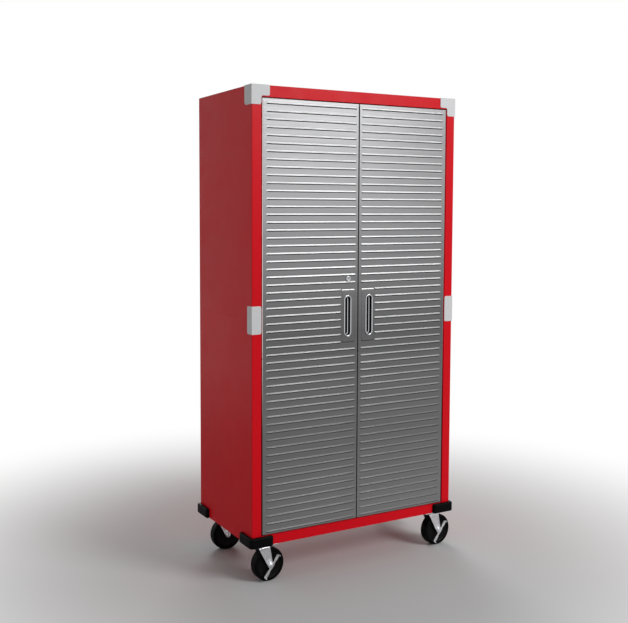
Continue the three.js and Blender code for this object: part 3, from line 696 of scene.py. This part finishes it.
def turned_into(bm, profile, place, axis, segments=48, hollow=False):
    """A body turned about an axis through place, from (radius, place along the axis) rows.

    A hollow one is closed on itself and has a hole; any other is closed by flat ends.
    """
    turn = Vector((0, 0, 1)).rotation_difference(Vector(axis)).to_matrix()
    rings = []
    for radius, along in profile:
        ring = []
        for index in range(segments):
            angle = 2 * math.pi * index / segments
            point = turn @ Vector((radius * math.cos(angle), radius * math.sin(angle), along))
            ring.append(bm.verts.new(point + Vector(place)))
        rings.append(ring)
    if hollow:
        strip(bm, rings + rings[:1])
    else:
        strip(bm, rings)
        bm.faces.new(list(reversed(rings[0])))
        bm.faces.new(rings[-1])


def rounded_ring(inner, outer, low, high, radius, steps=4):
    """The profile of a washer with rounded edges, for a hollow turned body."""
    rows = []
    middles = (
        (outer - radius, low + radius, -90),
        (outer - radius, high - radius, 0),
        (inner + radius, high - radius, 90),
        (inner + radius, low + radius, 180),
    )
    for across, along, start in middles:
        for step in range(steps + 1):
            angle = math.radians(start + 90 * step / steps)
            rows.append((across + radius * math.cos(angle), along + radius * math.sin(angle)))
    return rows


def hex_head_into(bm, place, axis, radius, height):
    """A six-sided bolt head on its washer, standing on place and growing along the axis."""
    thick = height * HEX_WASHER
    washer = rounded_ring(radius * HEX_BORE, radius, 0, thick, thick * HEX_ROUND, steps=2)
    turned_into(bm, washer, place, axis, segments=32, hollow=True)
    head = [(radius * across, height * along) for across, along in HEX_PROFILE]
    turned_into(bm, head, place, axis, segments=6)


def whole(name, bm, body, slot, replaces=(), crease=CREASE_DEGREES, modifiers=()):
    """A piece of closed shells from a bmesh, with its normals put outwards."""
    bmesh.ops.recalc_face_normals(bm, faces=bm.faces)
    mesh = mesh_of(name, bm)
    if modifiers:
        mesh.shade_smooth()
        mesh = with_modifiers(mesh, *modifiers)
    piece_of(name, mesh, body, slot, replaces, crease)


def face_forward(bm):
    """Turns an open sheet to face the front, as its foremost face shows."""
    bmesh.ops.recalc_face_normals(bm, faces=bm.faces)
    foremost = min(bm.faces, key=lambda face: face.calc_center_median().y)
    if foremost.normal.y > 0:
        bmesh.ops.reverse_faces(bm, faces=bm.faces)


def smooth_step(share):
    share = max(0.0, min(1.0, share))
    return share * share * (3 - 2 * share)


def spread(low, high, step):
    """Places from low to high at even steps of about this size, both ends included."""
    count = max(1, round((high - low) / step))
    return [low + (high - low) * index / count for index in range(count + 1)]


# Copies of CAD nodes with softer edges
def arm_cutter(side):
    """The waste outside the rounded top corner of a corner guard's arm."""
    low, high = BOXES[f"corner_guard_{side}"]
    toward = -SIDES[side]
    end = high.x if toward > 0 else low.x
    outline = [
        (end + toward * SLIGHT, high.z - ARM_ROUND),
        (end + toward * SLIGHT, high.z + SLIGHT),
        (end - toward * ARM_ROUND, high.z + SLIGHT),
    ]
    for step in range(ARM_STEPS + 1):
        angle = math.pi / 2 * step / ARM_STEPS
        across = ARM_ROUND * (1 - math.sin(angle))
        down = ARM_ROUND * (1 - math.cos(angle))
        outline.append((end - toward * across, high.z - down))
    bm = bmesh.new()
    rings = [[bm.verts.new((x, y, z)) for x, z in outline] for y in (low.y - SLIGHT, high.y + SLIGHT)]
    strip(bm, rings)
    for ring in rings:
        bm.faces.new(ring)
    bmesh.ops.recalc_face_normals(bm, faces=bm.faces)
    return added("cutter", mesh_of("cutter", bm))


def round_front_folds(bm, low, high, radius):
    """Rounds the long upright edges at a side panel's outer front corner."""
    outer = max(abs(low.x), abs(high.x))
    folds = [
        edge
        for edge in bm.edges
        if all(abs(v.co.x) > outer - SLIGHT and v.co.y < low.y + SLIGHT for v in edge.verts)
        and edge.calc_length() > LONG_EDGE
    ]
    bmesh.ops.bevel(bm, geom=folds, offset=radius, segments=SHEET_BEND_STEPS, profile=0.5, affect="EDGES")


def softened(node, width, segments=2, meets=None, folds=0.0, slot=None, cutter=None):
    """A copy of a CAD node with its flat facets joined and its edges rounded, which replaces it.

    Its top edge is brought up to the sheet it meets, its upright front corners get the folds' radius,
    and what the cutter holds is taken off before the edges are rounded.
    """
    bm = bmesh.new()
    bm.from_mesh(frame["nodes"][node].data)
    bmesh.ops.remove_doubles(bm, verts=bm.verts, dist=SAME_PLACE)
    bmesh.ops.dissolve_limit(bm, angle_limit=SAME_PLANE, verts=bm.verts, edges=bm.edges)
    low, high = BOXES[node]
    if meets:
        for vertex in bm.verts:
            if vertex.co.z > high.z - SLIGHT:
                vertex.co.z = BOXES[meets][0].z
    if folds:
        round_front_folds(bm, low, high, folds)
    plain = mesh_of(node + "_soft", bm)
    plain.shade_smooth()
    cuts = [cut_by(cutter)] if cutter else []
    mesh = with_modifiers(plain, *cuts, rounding(width, segments), FLATTER)
    if cutter:
        bpy.data.objects.remove(cutter)
    piece_of(node + "_soft", mesh, BODIES[node], slot or SLOTS[node], [node], crease=None)


for side in SIDES:
    softened(f"{side}_side_lower", SHEET_EDGE, meets=f"{side}_side_upper", folds=SHEET_BEND)
    softened(f"{side}_side_upper", SHEET_EDGE, folds=SHEET_BEND)
    softened(f"corner_guard_{side}", GUARD_EDGE, segments=3, cutter=arm_cutter(side))
    softened(f"mid_guard_{side}", GUARD_EDGE, segments=3)
    for end in ("front", "rear"):
        softened(f"standard_{end}_{side}", FINE_EDGE)
        softened(f"bumper_{end}_{side}", BUMPER_EDGE, segments=3)
    softened(f"{side}_door_pan", FINE_EDGE)
    for end in ("top", "bottom"):
        # The hinge pins take the black finish in place of their zinc: painted shade where they sit in the gap
        # beside the doors
        softened(f"{side}_hinge_pin_{end}", PIN_EDGE, slot="black_plastic")
for node in ("top_panel", "base_frame"):
    softened(node, SHEET_EDGE)
softened("back_lower", PANEL_EDGE, meets="back_upper")
for node in ("back_upper", "shelf_1", "shelf_2", "shelf_3", "shelf_4"):
    softened(node, PANEL_EDGE)
softened("magnetic_catch", CATCH_EDGE, segments=3)
softened("lock_cam", CAM_EDGE)
for node in ("slide_bolt_upper", "slide_bolt_lower"):
    softened(node, BOLT_EDGE)


# Door skins
FRONT = BOXES["left_side_lower"][0].y


def rib_level(index):
    """The height of a rib's middle line, counted from the lowest rib."""
    return BOXES["left_door_lower_skin"][0].z + RIB_FOOT + index * RIB_PITCH


def rib_share(distance):
    """The share of a rib's rise at a distance from its middle line, in half widths."""
    return math.cos(min(distance, 1) * math.pi / 2) ** RIB_FULLNESS


def tidy_places(places):
    """The places in order, without ones that all but coincide."""
    kept = []
    for place in sorted(places):
        if not kept or place - kept[-1] > LEAST_STEP:
            kept.append(place)
    return kept


class Pad:
    """The raised plate round the pull, in the door's own x, which grows from its inner edge."""

    low = PAD_INSET
    high = PAD_INSET + PAD_WIDTH
    bottom = rib_level(PAD_RIBS[0]) - PAD_MARGIN
    top = rib_level(PAD_RIBS[1]) + PAD_MARGIN
    pull_x = (low + high) / 2 + PULL_OFFSET
    pull_z = (bottom + top) / 2
    lock_z = rib_level(PAD_RIBS[1]) + LOCK_PITCHES_UP * RIB_PITCH

    @classmethod
    def rise(cls, u, z):
        """How far the plate stands out at a point, with its edge eased."""
        reach_u = (cls.high - cls.low) / 2 - PAD_RADIUS
        reach_z = (cls.top - cls.bottom) / 2 - PAD_RADIUS
        du = max(abs(u - (cls.low + cls.high) / 2) - reach_u, 0)
        dz = max(abs(z - cls.pull_z) - reach_z, 0)
        inside = PAD_RADIUS - math.hypot(du, dz)
        return PAD_RISE * smooth_step(inside / PAD_EDGE)


class Skin:
    """One pressed sheet of a door, where u grows from the door's inner edge and z from the floor."""

    def __init__(self, side, part):
        self.side = side
        self.upper = part == "upper"
        self.node = f"{side}_door_{part}_skin"
        low, high = BOXES[self.node]
        self.bottom = low.z
        self.top = high.z if self.upper else BOXES[f"{side}_door_upper_skin"][0].z
        self.inner = min(abs(low.x), abs(high.x))
        self.width = high.x - low.x
        self.far_end = self.width - RIB_OUTER_INSET
        ribs = range(LOWER_RIBS, RIB_COUNT) if self.upper else range(LOWER_RIBS)
        self.rib_ends = {index: RIB_INNER_INSET for index in ribs}
        if self.upper:
            beside_pad = range(PAD_RIBS[0], PAD_RIBS[1] + 1)
            self.rib_ends.update({index: Pad.high + PAD_MARGIN for index in beside_pad})

    def height(self, u, z):
        """How far the pad or a rib stands out at a point of the face."""
        index = round((z - rib_level(0)) / RIB_PITCH)
        rise = Pad.rise(u, z) if self.upper else 0
        if index in self.rib_ends:
            past = max(self.rib_ends[index] + RIB_HALF - u, u - self.far_end + RIB_HALF, 0)
            distance = math.hypot(z - rib_level(index), past) / RIB_HALF
            rise = max(rise, RIB_RISE * rib_share(distance))
        return rise

    def across(self):
        """The u of the face's mesh lines: close at the ribs' ends and over the pad, wide elsewhere."""
        places = [SKIN_BEND, SKIN_BEND + FOOT_FLAT]
        places += [self.width - OUTER_BEND - FOOT_FLAT, self.width - OUTER_BEND]
        for end in set(self.rib_ends.values()):
            places += [end - FOOT_FLAT, *spread(end, end + RIB_HALF, RIB_HALF / END_STEPS)]
        places += spread(self.far_end - RIB_HALF, self.far_end, RIB_HALF / END_STEPS)
        places.append(self.far_end + FOOT_FLAT)
        places += spread(Pad.high + WIDE_MARGIN, self.far_end - WIDE_MARGIN, WIDE_STEP)
        if self.upper:
            places += spread(Pad.low, Pad.high, FINE_STEP)
            places += [Pad.low + PAD_EDGE / 2, Pad.high - PAD_EDGE / 2]
        return tidy_places(places)

    def levels(self):
        """The z of the face's mesh lines, close over the ribs and, on the upper sheet, the pad and lock."""
        places = [self.bottom, self.top]
        for index in self.rib_ends:
            low, high = rib_level(index) - RIB_HALF, rib_level(index) + RIB_HALF
            places += [low - FOOT_FLAT, *spread(low, high, (high - low) / RIB_STEPS), high + FOOT_FLAT]
        if self.upper:
            places += spread(Pad.bottom, Pad.top, PAD_LEVEL_STEP)
            places += spread(Pad.lock_z - LOCK_RADIUS, Pad.lock_z + LOCK_RADIUS, FINE_STEP)
        return tidy_places(places)

    def stations(self):
        """Round the sheet's section, a fold, a bend, the face, a bend and a fold: (u, depth, on the face)."""
        rows = [(0, SKIN_FOLD, False)]
        for step in range(BEND_STEPS):
            angle = math.pi / 2 * step / BEND_STEPS
            rows.append((SKIN_BEND * (1 - math.cos(angle)), SKIN_BEND * (1 - math.sin(angle)), False))
        rows += [(u, 0, True) for u in self.across()]
        for step in range(1, BEND_STEPS + 1):
            angle = math.pi / 2 * step / BEND_STEPS
            u = self.width - OUTER_BEND * (1 - math.sin(angle))
            rows.append((u, OUTER_BEND * (1 - math.cos(angle)), False))
        rows.append((self.width, SKIN_FOLD, False))
        return rows

    def turned_levels(self):
        """Levels with the least depth there, as both ends of the sheet turn in: (z, depth)."""
        turn = [(0, SKIN_RETURN), (0, SKIN_RETURN / 2), (SKIN_RETURN / 4, SKIN_RETURN / 8)]
        inside = [z for z in self.levels() if self.bottom + SKIN_RETURN < z < self.top - SKIN_RETURN]
        rows = [(self.bottom + up, depth) for up, depth in turn]
        rows += [(z, 0) for z in inside]
        return rows + [(self.top - down, depth) for down, depth in reversed(turn)]

    def cut_holes(self, bm):
        """Takes out the faces over the pull's cup and, on the left door, over the lock's barrel."""
        gone = []
        for face in bm.faces:
            places = [(abs(v.co.x) - self.inner, v.co.z) for v in face.verts]
            at_pull = any(in_pull(u, z) for u, z in places)
            at_lock = self.side == "left" and any(in_lock(u, z) for u, z in places)
            if (at_pull or at_lock) and face.calc_center_median().y < FRONT + SKIN_SHEET:
                gone.append(face)
        bmesh.ops.delete(bm, geom=gone, context="FACES")

    def make(self):
        """The sheet as a piece, pressed from the grid of its stations and levels."""
        sign = SIDES[self.side]
        stations = self.stations()
        bm = bmesh.new()
        rows = []
        for z, least in self.turned_levels():
            row = []
            for u, back, raised in stations:
                y = FRONT + max(back, least) - (self.height(u, z) if raised else 0)
                row.append(bm.verts.new((sign * (self.inner + u), y, z)))
            rows.append(row)
        strip(bm, rows, closed=False)
        if self.upper:
            self.cut_holes(bm)
        face_forward(bm)
        mesh = with_modifiers(mesh_of(self.node + "_pressed", bm), sheet(SKIN_SHEET))
        piece_of(self.node + "_pressed", mesh, f"{self.side}_door", "stainless", [self.node], crease=50)


def in_pull(u, z):
    """Whether a point of the door's face lies over the pull's cup."""
    dz = max(abs(z - Pad.pull_z) - RIM_REACH, 0)
    return math.hypot(u - Pad.pull_x, dz) < PULL_HOLE


def in_lock(u, z):
    """Whether a point of the door's face lies over the lock's barrel."""
    return math.hypot(u - LOCK_INSET, z - Pad.lock_z) < LOCK_HOLE


for side in SIDES:
    for part in ("lower", "upper"):
        Skin(side, part).make()


# Pulls
def slot_rings(bm, side, rows):
    """Upright slot outlines round the pull's middle, from (half width, y) rows."""
    low, high = BOXES[f"{side}_door_lower_skin"]
    x = SIDES[side] * (min(abs(low.x), abs(high.x)) + Pad.pull_x)
    rings = []
    for half, y in rows:
        ring = []
        for turn, way in ((0, 1), (math.pi, -1)):
            for step in range(ARC_STEPS + 1):
                angle = turn + math.pi * step / ARC_STEPS
                z = Pad.pull_z + way * RIM_REACH + half * math.sin(angle)
                ring.append(bm.verts.new((x + half * math.cos(angle), y, z)))
        rings.append(ring)
    return rings


def rim_profile(front, rise):
    """From the rim's foot over its crown and down the cup to the floor: (half width, y) rows."""
    half = RIM_WIDTH / 2
    rows = [(half, front + SKIN_SHEET / 2)]
    for step in range(CROWN_STEPS + 1):
        angle = math.pi * step / CROWN_STEPS
        inset = RIM_BAND / 2 * (1 - math.cos(angle))
        rows.append((half - inset, front - rise * math.sin(angle) ** CROWN_FULLNESS))
    wall = half - RIM_BAND
    rows.append((wall + UNDERCUT, front + 2 * UNDERCUT))
    cone_y = front + CUP_DEPTH - CUP_CONE * math.tan(CUP_SLOPE)
    for step in range(FILLET_STEPS + 1):
        angle = (math.pi / 2 - CUP_SLOPE) * step / FILLET_STEPS
        inset = CUP_DRAFT + CUP_FILLET * (1 - math.cos(angle))
        rows.append((wall - inset, cone_y - CUP_FILLET * (math.cos(CUP_SLOPE) - math.sin(angle))))
    rows.append((rows[-1][0] - CUP_CONE, front + CUP_DEPTH))
    return rows


def make_pull(side):
    """A chrome rim that runs down into the cup's wall, and the cup's black floor."""
    front = FRONT - PAD_RISE
    rows = rim_profile(front, front - BOXES[f"{side}_pull"][0].y)
    bm = bmesh.new()
    strip(bm, slot_rings(bm, side, rows))
    bmesh.ops.recalc_face_normals(bm, faces=bm.faces)
    mesh = with_modifiers(mesh_of(side + "_pull_rim", bm), sheet(RIM_SHEET))
    piece_of(side + "_pull_rim", mesh, f"{side}_door", "chrome", [f"{side}_pull"], crease=60)

    half, floor_y = rows[-1]
    rows = [(half + 2 * RIM_SHEET, floor_y - RIM_SHEET), (half, floor_y - 2 * RIM_SHEET)]
    bm = bmesh.new()
    rings = slot_rings(bm, side, rows)
    strip(bm, rings)
    bm.faces.new(rings[-1])
    bmesh.ops.recalc_face_normals(bm, faces=bm.faces)
    mesh = with_modifiers(mesh_of(side + "_pull_floor", bm), sheet(RIM_SHEET))
    piece_of(side + "_pull_floor", mesh, f"{side}_door", "black_plastic", crease=50)


for side in SIDES:
    make_pull(side)


# Lock
def make_lock():
    """A chrome ring with the housing's barrel behind it, round the plug."""
    low, high = BOXES["lock_housing"]
    place = ((low.x + high.x) / 2, low.y, (low.z + high.z) / 2)
    flange = FRONT - low.y
    ring = rounded_ring(LOCK_BORE, LOCK_RADIUS, 0, flange, LOCK_ROUND)
    barrel = rounded_ring(LOCK_BORE, LOCK_BARREL, flange / 2, high.y - low.y, LOCK_ROUND / 2, steps=2)
    bm = bmesh.new()
    turned_into(bm, ring, place, (0, 1, 0), segments=64, hollow=True)
    turned_into(bm, barrel, place, (0, 1, 0), hollow=True)
    whole("lock_ring", bm, BODIES["lock_housing"], "chrome", ["lock_housing"])
    softened("lock_plug", FINE_EDGE)


make_lock()


# Casters
def kingpin_place(corner):
    """The frame of a caster's top plate: on the floor under the kingpin, square to the cabinet."""
    kingpin = JOINTS[f"swivel_{corner}_turn"]["pos_m"]
    return Matrix.Translation((kingpin[0], kingpin[1], 0))


def caster_place(corner):
    """The caster's own frame: x along its trail, y along its axle, z up from the floor."""
    kingpin = JOINTS[f"swivel_{corner}_turn"]["pos_m"]
    axle = JOINTS[f"wheel_{corner}_spin"]["pos_m"]
    swing = math.atan2(axle[1] - kingpin[1], axle[0] - kingpin[0])
    return kingpin_place(corner) @ Matrix.Rotation(swing, 4, "Z")


def leg_edges(z):
    """The x of both edges of a fork leg at a level: the hull of the crown's side and the boss."""
    level = z - AXLE_HEIGHT
    edges = []
    for way, corner_x in zip((-1, 1), FORK_EDGES):
        dx = corner_x - TRAIL
        dz = CROWN_TOP - FORK_BEND - AXLE_HEIGHT
        touch = math.atan2(dz, dx) - way * math.acos(BOSS_RADIUS / math.hypot(dx, dz))
        touch_x = BOSS_RADIUS * math.cos(touch)
        touch_z = BOSS_RADIUS * math.sin(touch)
        if level >= touch_z:
            share = min((level - touch_z) / (dz - touch_z), 1)
            edges.append(TRAIL + touch_x + (dx - touch_x) * share)
        else:
            edges.append(TRAIL + way * math.sqrt(max(BOSS_RADIUS**2 - level**2, 0)))
    return edges


def leg_relief(share, x, z):
    """How deep the leg's face lies behind its flanges: a panel with one rib line."""
    low, high = PANEL_SPAN
    across = smooth_step((share - low) / PANEL_EASE) * smooth_step((high - share) / PANEL_EASE)
    line = LINE_DEPTH * smooth_step(1 - abs(share - LINE_SHARE) / LINE_HALF)
    boss = smooth_step((math.hypot(x - TRAIL, z - AXLE_HEIGHT) - BOSS_FLAT) / BOSS_EASE)
    crown = smooth_step((CROWN_TOP - FORK_BEND - z) / CROWN_EASE)
    return PANEL_DEPTH * across * (1 + line) * boss * crown


def fork_line():
    """From one boss up its leg, over the crown and down to the other boss: (y, z, the way it faces)."""
    boss = [AXLE_HEIGHT - BOSS_RADIUS * math.cos(math.radians(angle)) for angle in BOSS_ANGLES]
    leg = boss + spread(AXLE_HEIGHT, CROWN_TOP - FORK_BEND, LEG_STEP)
    side = [(-FORK_HALF, z, -1, 0) for z in leg]
    for step in range(1, FORK_BEND_STEPS + 1):
        angle = math.pi / 2 * step / FORK_BEND_STEPS
        reach = FORK_BEND * (1 - math.cos(angle))
        side.append((reach - FORK_HALF, CROWN_TOP - FORK_BEND * (1 - math.sin(angle)), 0, 1))
    flat = spread(FORK_BEND - FORK_HALF, FORK_HALF - FORK_BEND, CROWN_STEP)[1:-1]
    crown = [(y, CROWN_TOP, 0, 1) for y in flat]
    return side + crown + [(-y, z, -ny, nz) for y, z, ny, nz in reversed(side)]


def fork_into(bm):
    """The outer face of the fork, one bent sheet with a hole for the kingpin."""
    shares = {0, 1}
    for low, high, count in LEG_LINES:
        shares.update(low + (high - low) * index / count for index in range(count))
    shares = sorted(shares | {PANEL_SPAN[1]})
    rows = []
    for y, z, ny, nz in fork_line():
        first, last = leg_edges(z)
        row = []
        for share in shares:
            x = first + (last - first) * share
            depth = leg_relief(share, x, z) if ny else 0
            row.append(bm.verts.new((x, y - ny * depth, z - nz * depth)))
        rows.append(row)
    strip(bm, rows, closed=False)
    hole = []
    for face in bm.faces:
        middle = face.calc_center_median()
        if middle.z > CROWN_UNDER and middle.xy.length < CROWN_HOLE:
            hole.append(face)
    bmesh.ops.delete(bm, geom=hole, context="FACES")
    face_forward(bm)


def make_fork(corner, place):
    """The fork's sheet, and the dish on its crown that holds the lower race."""
    body = BODIES[f"fork_{corner}"]
    bm = bmesh.new()
    fork_into(bm)
    bm.transform(place)
    mesh = with_modifiers(mesh_of(f"fork_{corner}_sheet", bm), sheet(FORK_SHEET), rounding(FORK_EDGE))
    piece_of(f"fork_{corner}_sheet", mesh, body, "zinc", [f"fork_{corner}"], crease=40)

    bore = KINGPIN_RADIUS + DISH_GAP
    dish = [(bore, DISH_TOP)]
    dish += [(DISH_RADIUS + out, DISH_TOP + up) for out, up in DISH_TOP_EDGE]
    dish += [(DISH_RADIUS + out, CROWN_TOP + up) for out, up in DISH_LOW_EDGE]
    dish.append((bore, dish[-1][1]))
    bm = bmesh.new()
    turned_into(bm, list(reversed(dish)), (0, 0, 0), (0, 0, 1), segments=64, hollow=True)
    bm.transform(place)
    whole(f"fork_{corner}_dish", bm, body, "zinc")


def rounded_plate_into(bm, length, width, radius, low, high):
    """A flat plate with round corners, between two levels."""
    loops = []
    for z in (low, high):
        loop = []
        for turn, (wx, wy) in enumerate(((1, 1), (-1, 1), (-1, -1), (1, -1))):
            for step in range(PLATE_STEPS + 1):
                angle = math.pi / 2 * (turn + step / PLATE_STEPS)
                x = wx * (length / 2 - radius) + radius * math.cos(angle)
                y = wy * (width / 2 - radius) + radius * math.sin(angle)
                loop.append(bm.verts.new((x, y, z)))
        loops.append(loop)
    strip(bm, loops)
    bm.faces.new(list(reversed(loops[0])))
    bm.faces.new(loops[1])


def make_plate(corner):
    """The top plate, which doesn't swing, with its bolts, the upper race, the kingpin and its nut."""
    body = BODIES[f"caster_plate_{corner}"]
    bm = bmesh.new()
    rounded_plate_into(bm, PLATE_LENGTH, PLATE_WIDTH, PLATE_RADIUS, PLATE_UNDER, PLATE_TOP)
    bm.transform(kingpin_place(corner))
    rows = (rounding(PLATE_EDGE), FLATTER)
    whole(f"plate_{corner}_sheet", bm, body, "zinc", [f"caster_plate_{corner}"], crease=None, modifiers=rows)

    nut_top = CROWN_UNDER - NUT_SUNK
    race = [(RACE_RADIUS + out, PLATE_UNDER + up) for out, up in RACE_TOP_EDGE]
    race += [(RACE_RADIUS + out, RACE_UNDER + up) for out, up in RACE_LOW_EDGE]
    race += [(KINGPIN_RADIUS, RACE_UNDER), (KINGPIN_RADIUS, nut_top - KINGPIN_NUT[1] / 2)]
    bm = bmesh.new()
    turned_into(bm, race, (0, 0, 0), (0, 0, 1), segments=64)
    hex_head_into(bm, (0, 0, nut_top), (0, 0, -1), *KINGPIN_NUT)
    for wx in (-1, 1):
        for wy in (-1, 1):
            x = wx * (PLATE_LENGTH / 2 - PLATE_BOLT_INSET)
            y = wy * (PLATE_WIDTH / 2 - PLATE_BOLT_INSET)
            hex_head_into(bm, (x, y, PLATE_UNDER), (0, 0, -1), *PLATE_BOLT)
    bm.transform(kingpin_place(corner))
    whole(f"plate_{corner}_race", bm, body, "zinc")


def make_wheel(corner, place):
    """A moulded core with a deep web, and a tread round it with a fine groove between them."""
    for name, rows, slot, replaces in (
        ("tread", WHEEL_TREAD, "wheel_rubber", [f"wheel_{corner}"]),
        ("core", WHEEL_CORE, "black_plastic", ()),
    ):
        bm = bmesh.new()
        loop = [*rows, *((radius, -along) for radius, along in reversed(rows))]
        turned_into(bm, loop, (TRAIL, 0, AXLE_HEIGHT), (0, 1, 0), segments=96, hollow=True)
        bm.transform(place)
        whole(f"wheel_{corner}_{name}", bm, BODIES[f"wheel_{corner}"], slot, replaces, crease=32)


def make_axle(corner, place):
    """The axle with its head on the fork or the lever, and its nut on the fork's other leg."""
    near = (LEVER_Y - LEVER_SHEET / 2 if corner in BRAKED else -FORK_HALF) - HEAD_GAP
    far = FORK_HALF + HEAD_GAP
    sunk = AXLE_HEAD[1] / 2
    shank = [(AXLE_RADIUS, near - sunk), (AXLE_RADIUS, FORK_HALF + sunk)]
    bm = bmesh.new()
    turned_into(bm, shank, (TRAIL, 0, AXLE_HEIGHT), (0, 1, 0), segments=24)
    hex_head_into(bm, (TRAIL, near, AXLE_HEIGHT), (0, -1, 0), *AXLE_HEAD)
    hex_head_into(bm, (TRAIL, far, AXLE_HEIGHT), (0, 1, 0), *AXLE_HEAD)
    bm.transform(place)
    whole(f"axle_{corner}_bolt", bm, BODIES[f"axle_{corner}"], "zinc", [f"axle_{corner}"])


def lever_tip():
    """The round tip that is bent out, and its bend: (u from the end, y, low and high edge) rows."""
    low, high = LEVER_WIDTH
    middle = (low + high) / 2
    half = (high - low) / 2
    rows = []
    for step in range(TIP_STEPS + 1):
        turn = math.sin(math.pi / 2 * step / TIP_STEPS)
        width = half * (TIP_SHARE + (1 - TIP_SHARE) * turn)
        out = LEVER_OUT - half * TIP_LENGTH * (1 - turn)
        rows.append((0, -out, middle - width, middle + width))
    rows.append((0, -LEVER_SHEET, low, high))
    for step in range(1, LEVER_BEND_STEPS + 1):
        turn = math.pi / 2 * step / LEVER_BEND_STEPS
        rows.append((LEVER_SHEET * (1 - math.cos(turn)), -LEVER_SHEET * (1 - math.sin(turn)), low, high))
    return rows


def lever_rows():
    """Stations along the lever: (u along the arm, y, low and high edge across it)."""
    low, high = LEVER_WIDTH
    start, end = LEVER_ENDS
    tip = lever_tip()
    rows = [(start + u, LEVER_Y + y, v0, v1) for u, y, v0, v1 in tip]
    ease = LEVER_NECK[1] - LEVER_NECK[0]
    clear = AXLE_RADIUS + AXLE_GAP
    for u in spread(start + LEVER_SHEET, end - LEVER_SHEET, LEVER_STEP)[1:-1]:
        narrow = smooth_step((abs(u) - LEVER_NECK[0]) / ease) * smooth_step((LEVER_NECK_END - abs(u)) / ease)
        top = min(high, -math.sqrt(clear**2 - u**2)) if abs(u) < clear else high
        rows.append((u, LEVER_Y, low + LEVER_WAIST * narrow, top - LEVER_WAIST * narrow))
    return rows + [(end - u, LEVER_Y + y, v0, v1) for u, y, v0, v1 in reversed(tip)]


def make_lever(corner, place):
    """The lever's arm, and the hub that turns on the axle."""
    tilted = place @ Matrix.Translation((TRAIL, 0, AXLE_HEIGHT)) @ Matrix.Rotation(-LEVER_LEAN, 4, "Y")
    body = BODIES[f"brake_lever_{corner}"]
    name = f"brake_lever_{corner}_arm"
    bm = bmesh.new()
    rows = []
    for u, y, low, high in lever_rows():
        levels = [low + (high - low) * step / LEVER_LINES for step in range(LEVER_LINES + 1)]
        rows.append([bm.verts.new((u, y, level)) for level in levels])
    strip(bm, rows, closed=False)
    bmesh.ops.recalc_face_normals(bm, faces=bm.faces)
    bm.transform(tilted)
    mesh = with_modifiers(mesh_of(name, bm), sheet(LEVER_SHEET, 0), rounding(LEVER_EDGE, 3, degrees=50))
    piece_of(name, mesh, body, "zinc", [f"brake_lever_{corner}"], crease=45)

    near = LEVER_Y - LEVER_SHEET / 2
    rows = rounded_ring(AXLE_RADIUS + AXLE_GAP, LEVER_HUB, near, near + LEVER_SHEET, LEVER_ROUND)
    bm = bmesh.new()
    turned_into(bm, rows, (0, 0, 0), (0, 1, 0), hollow=True)
    bm.transform(tilted)
    whole(f"brake_lever_{corner}_hub", bm, body, "zinc")


for corner in CORNERS:
    place = caster_place(corner)
    make_plate(corner)
    make_fork(corner, place)
    make_wheel(corner, place)
    make_axle(corner, place)
    if corner in BRAKED:
        make_lever(corner, place)
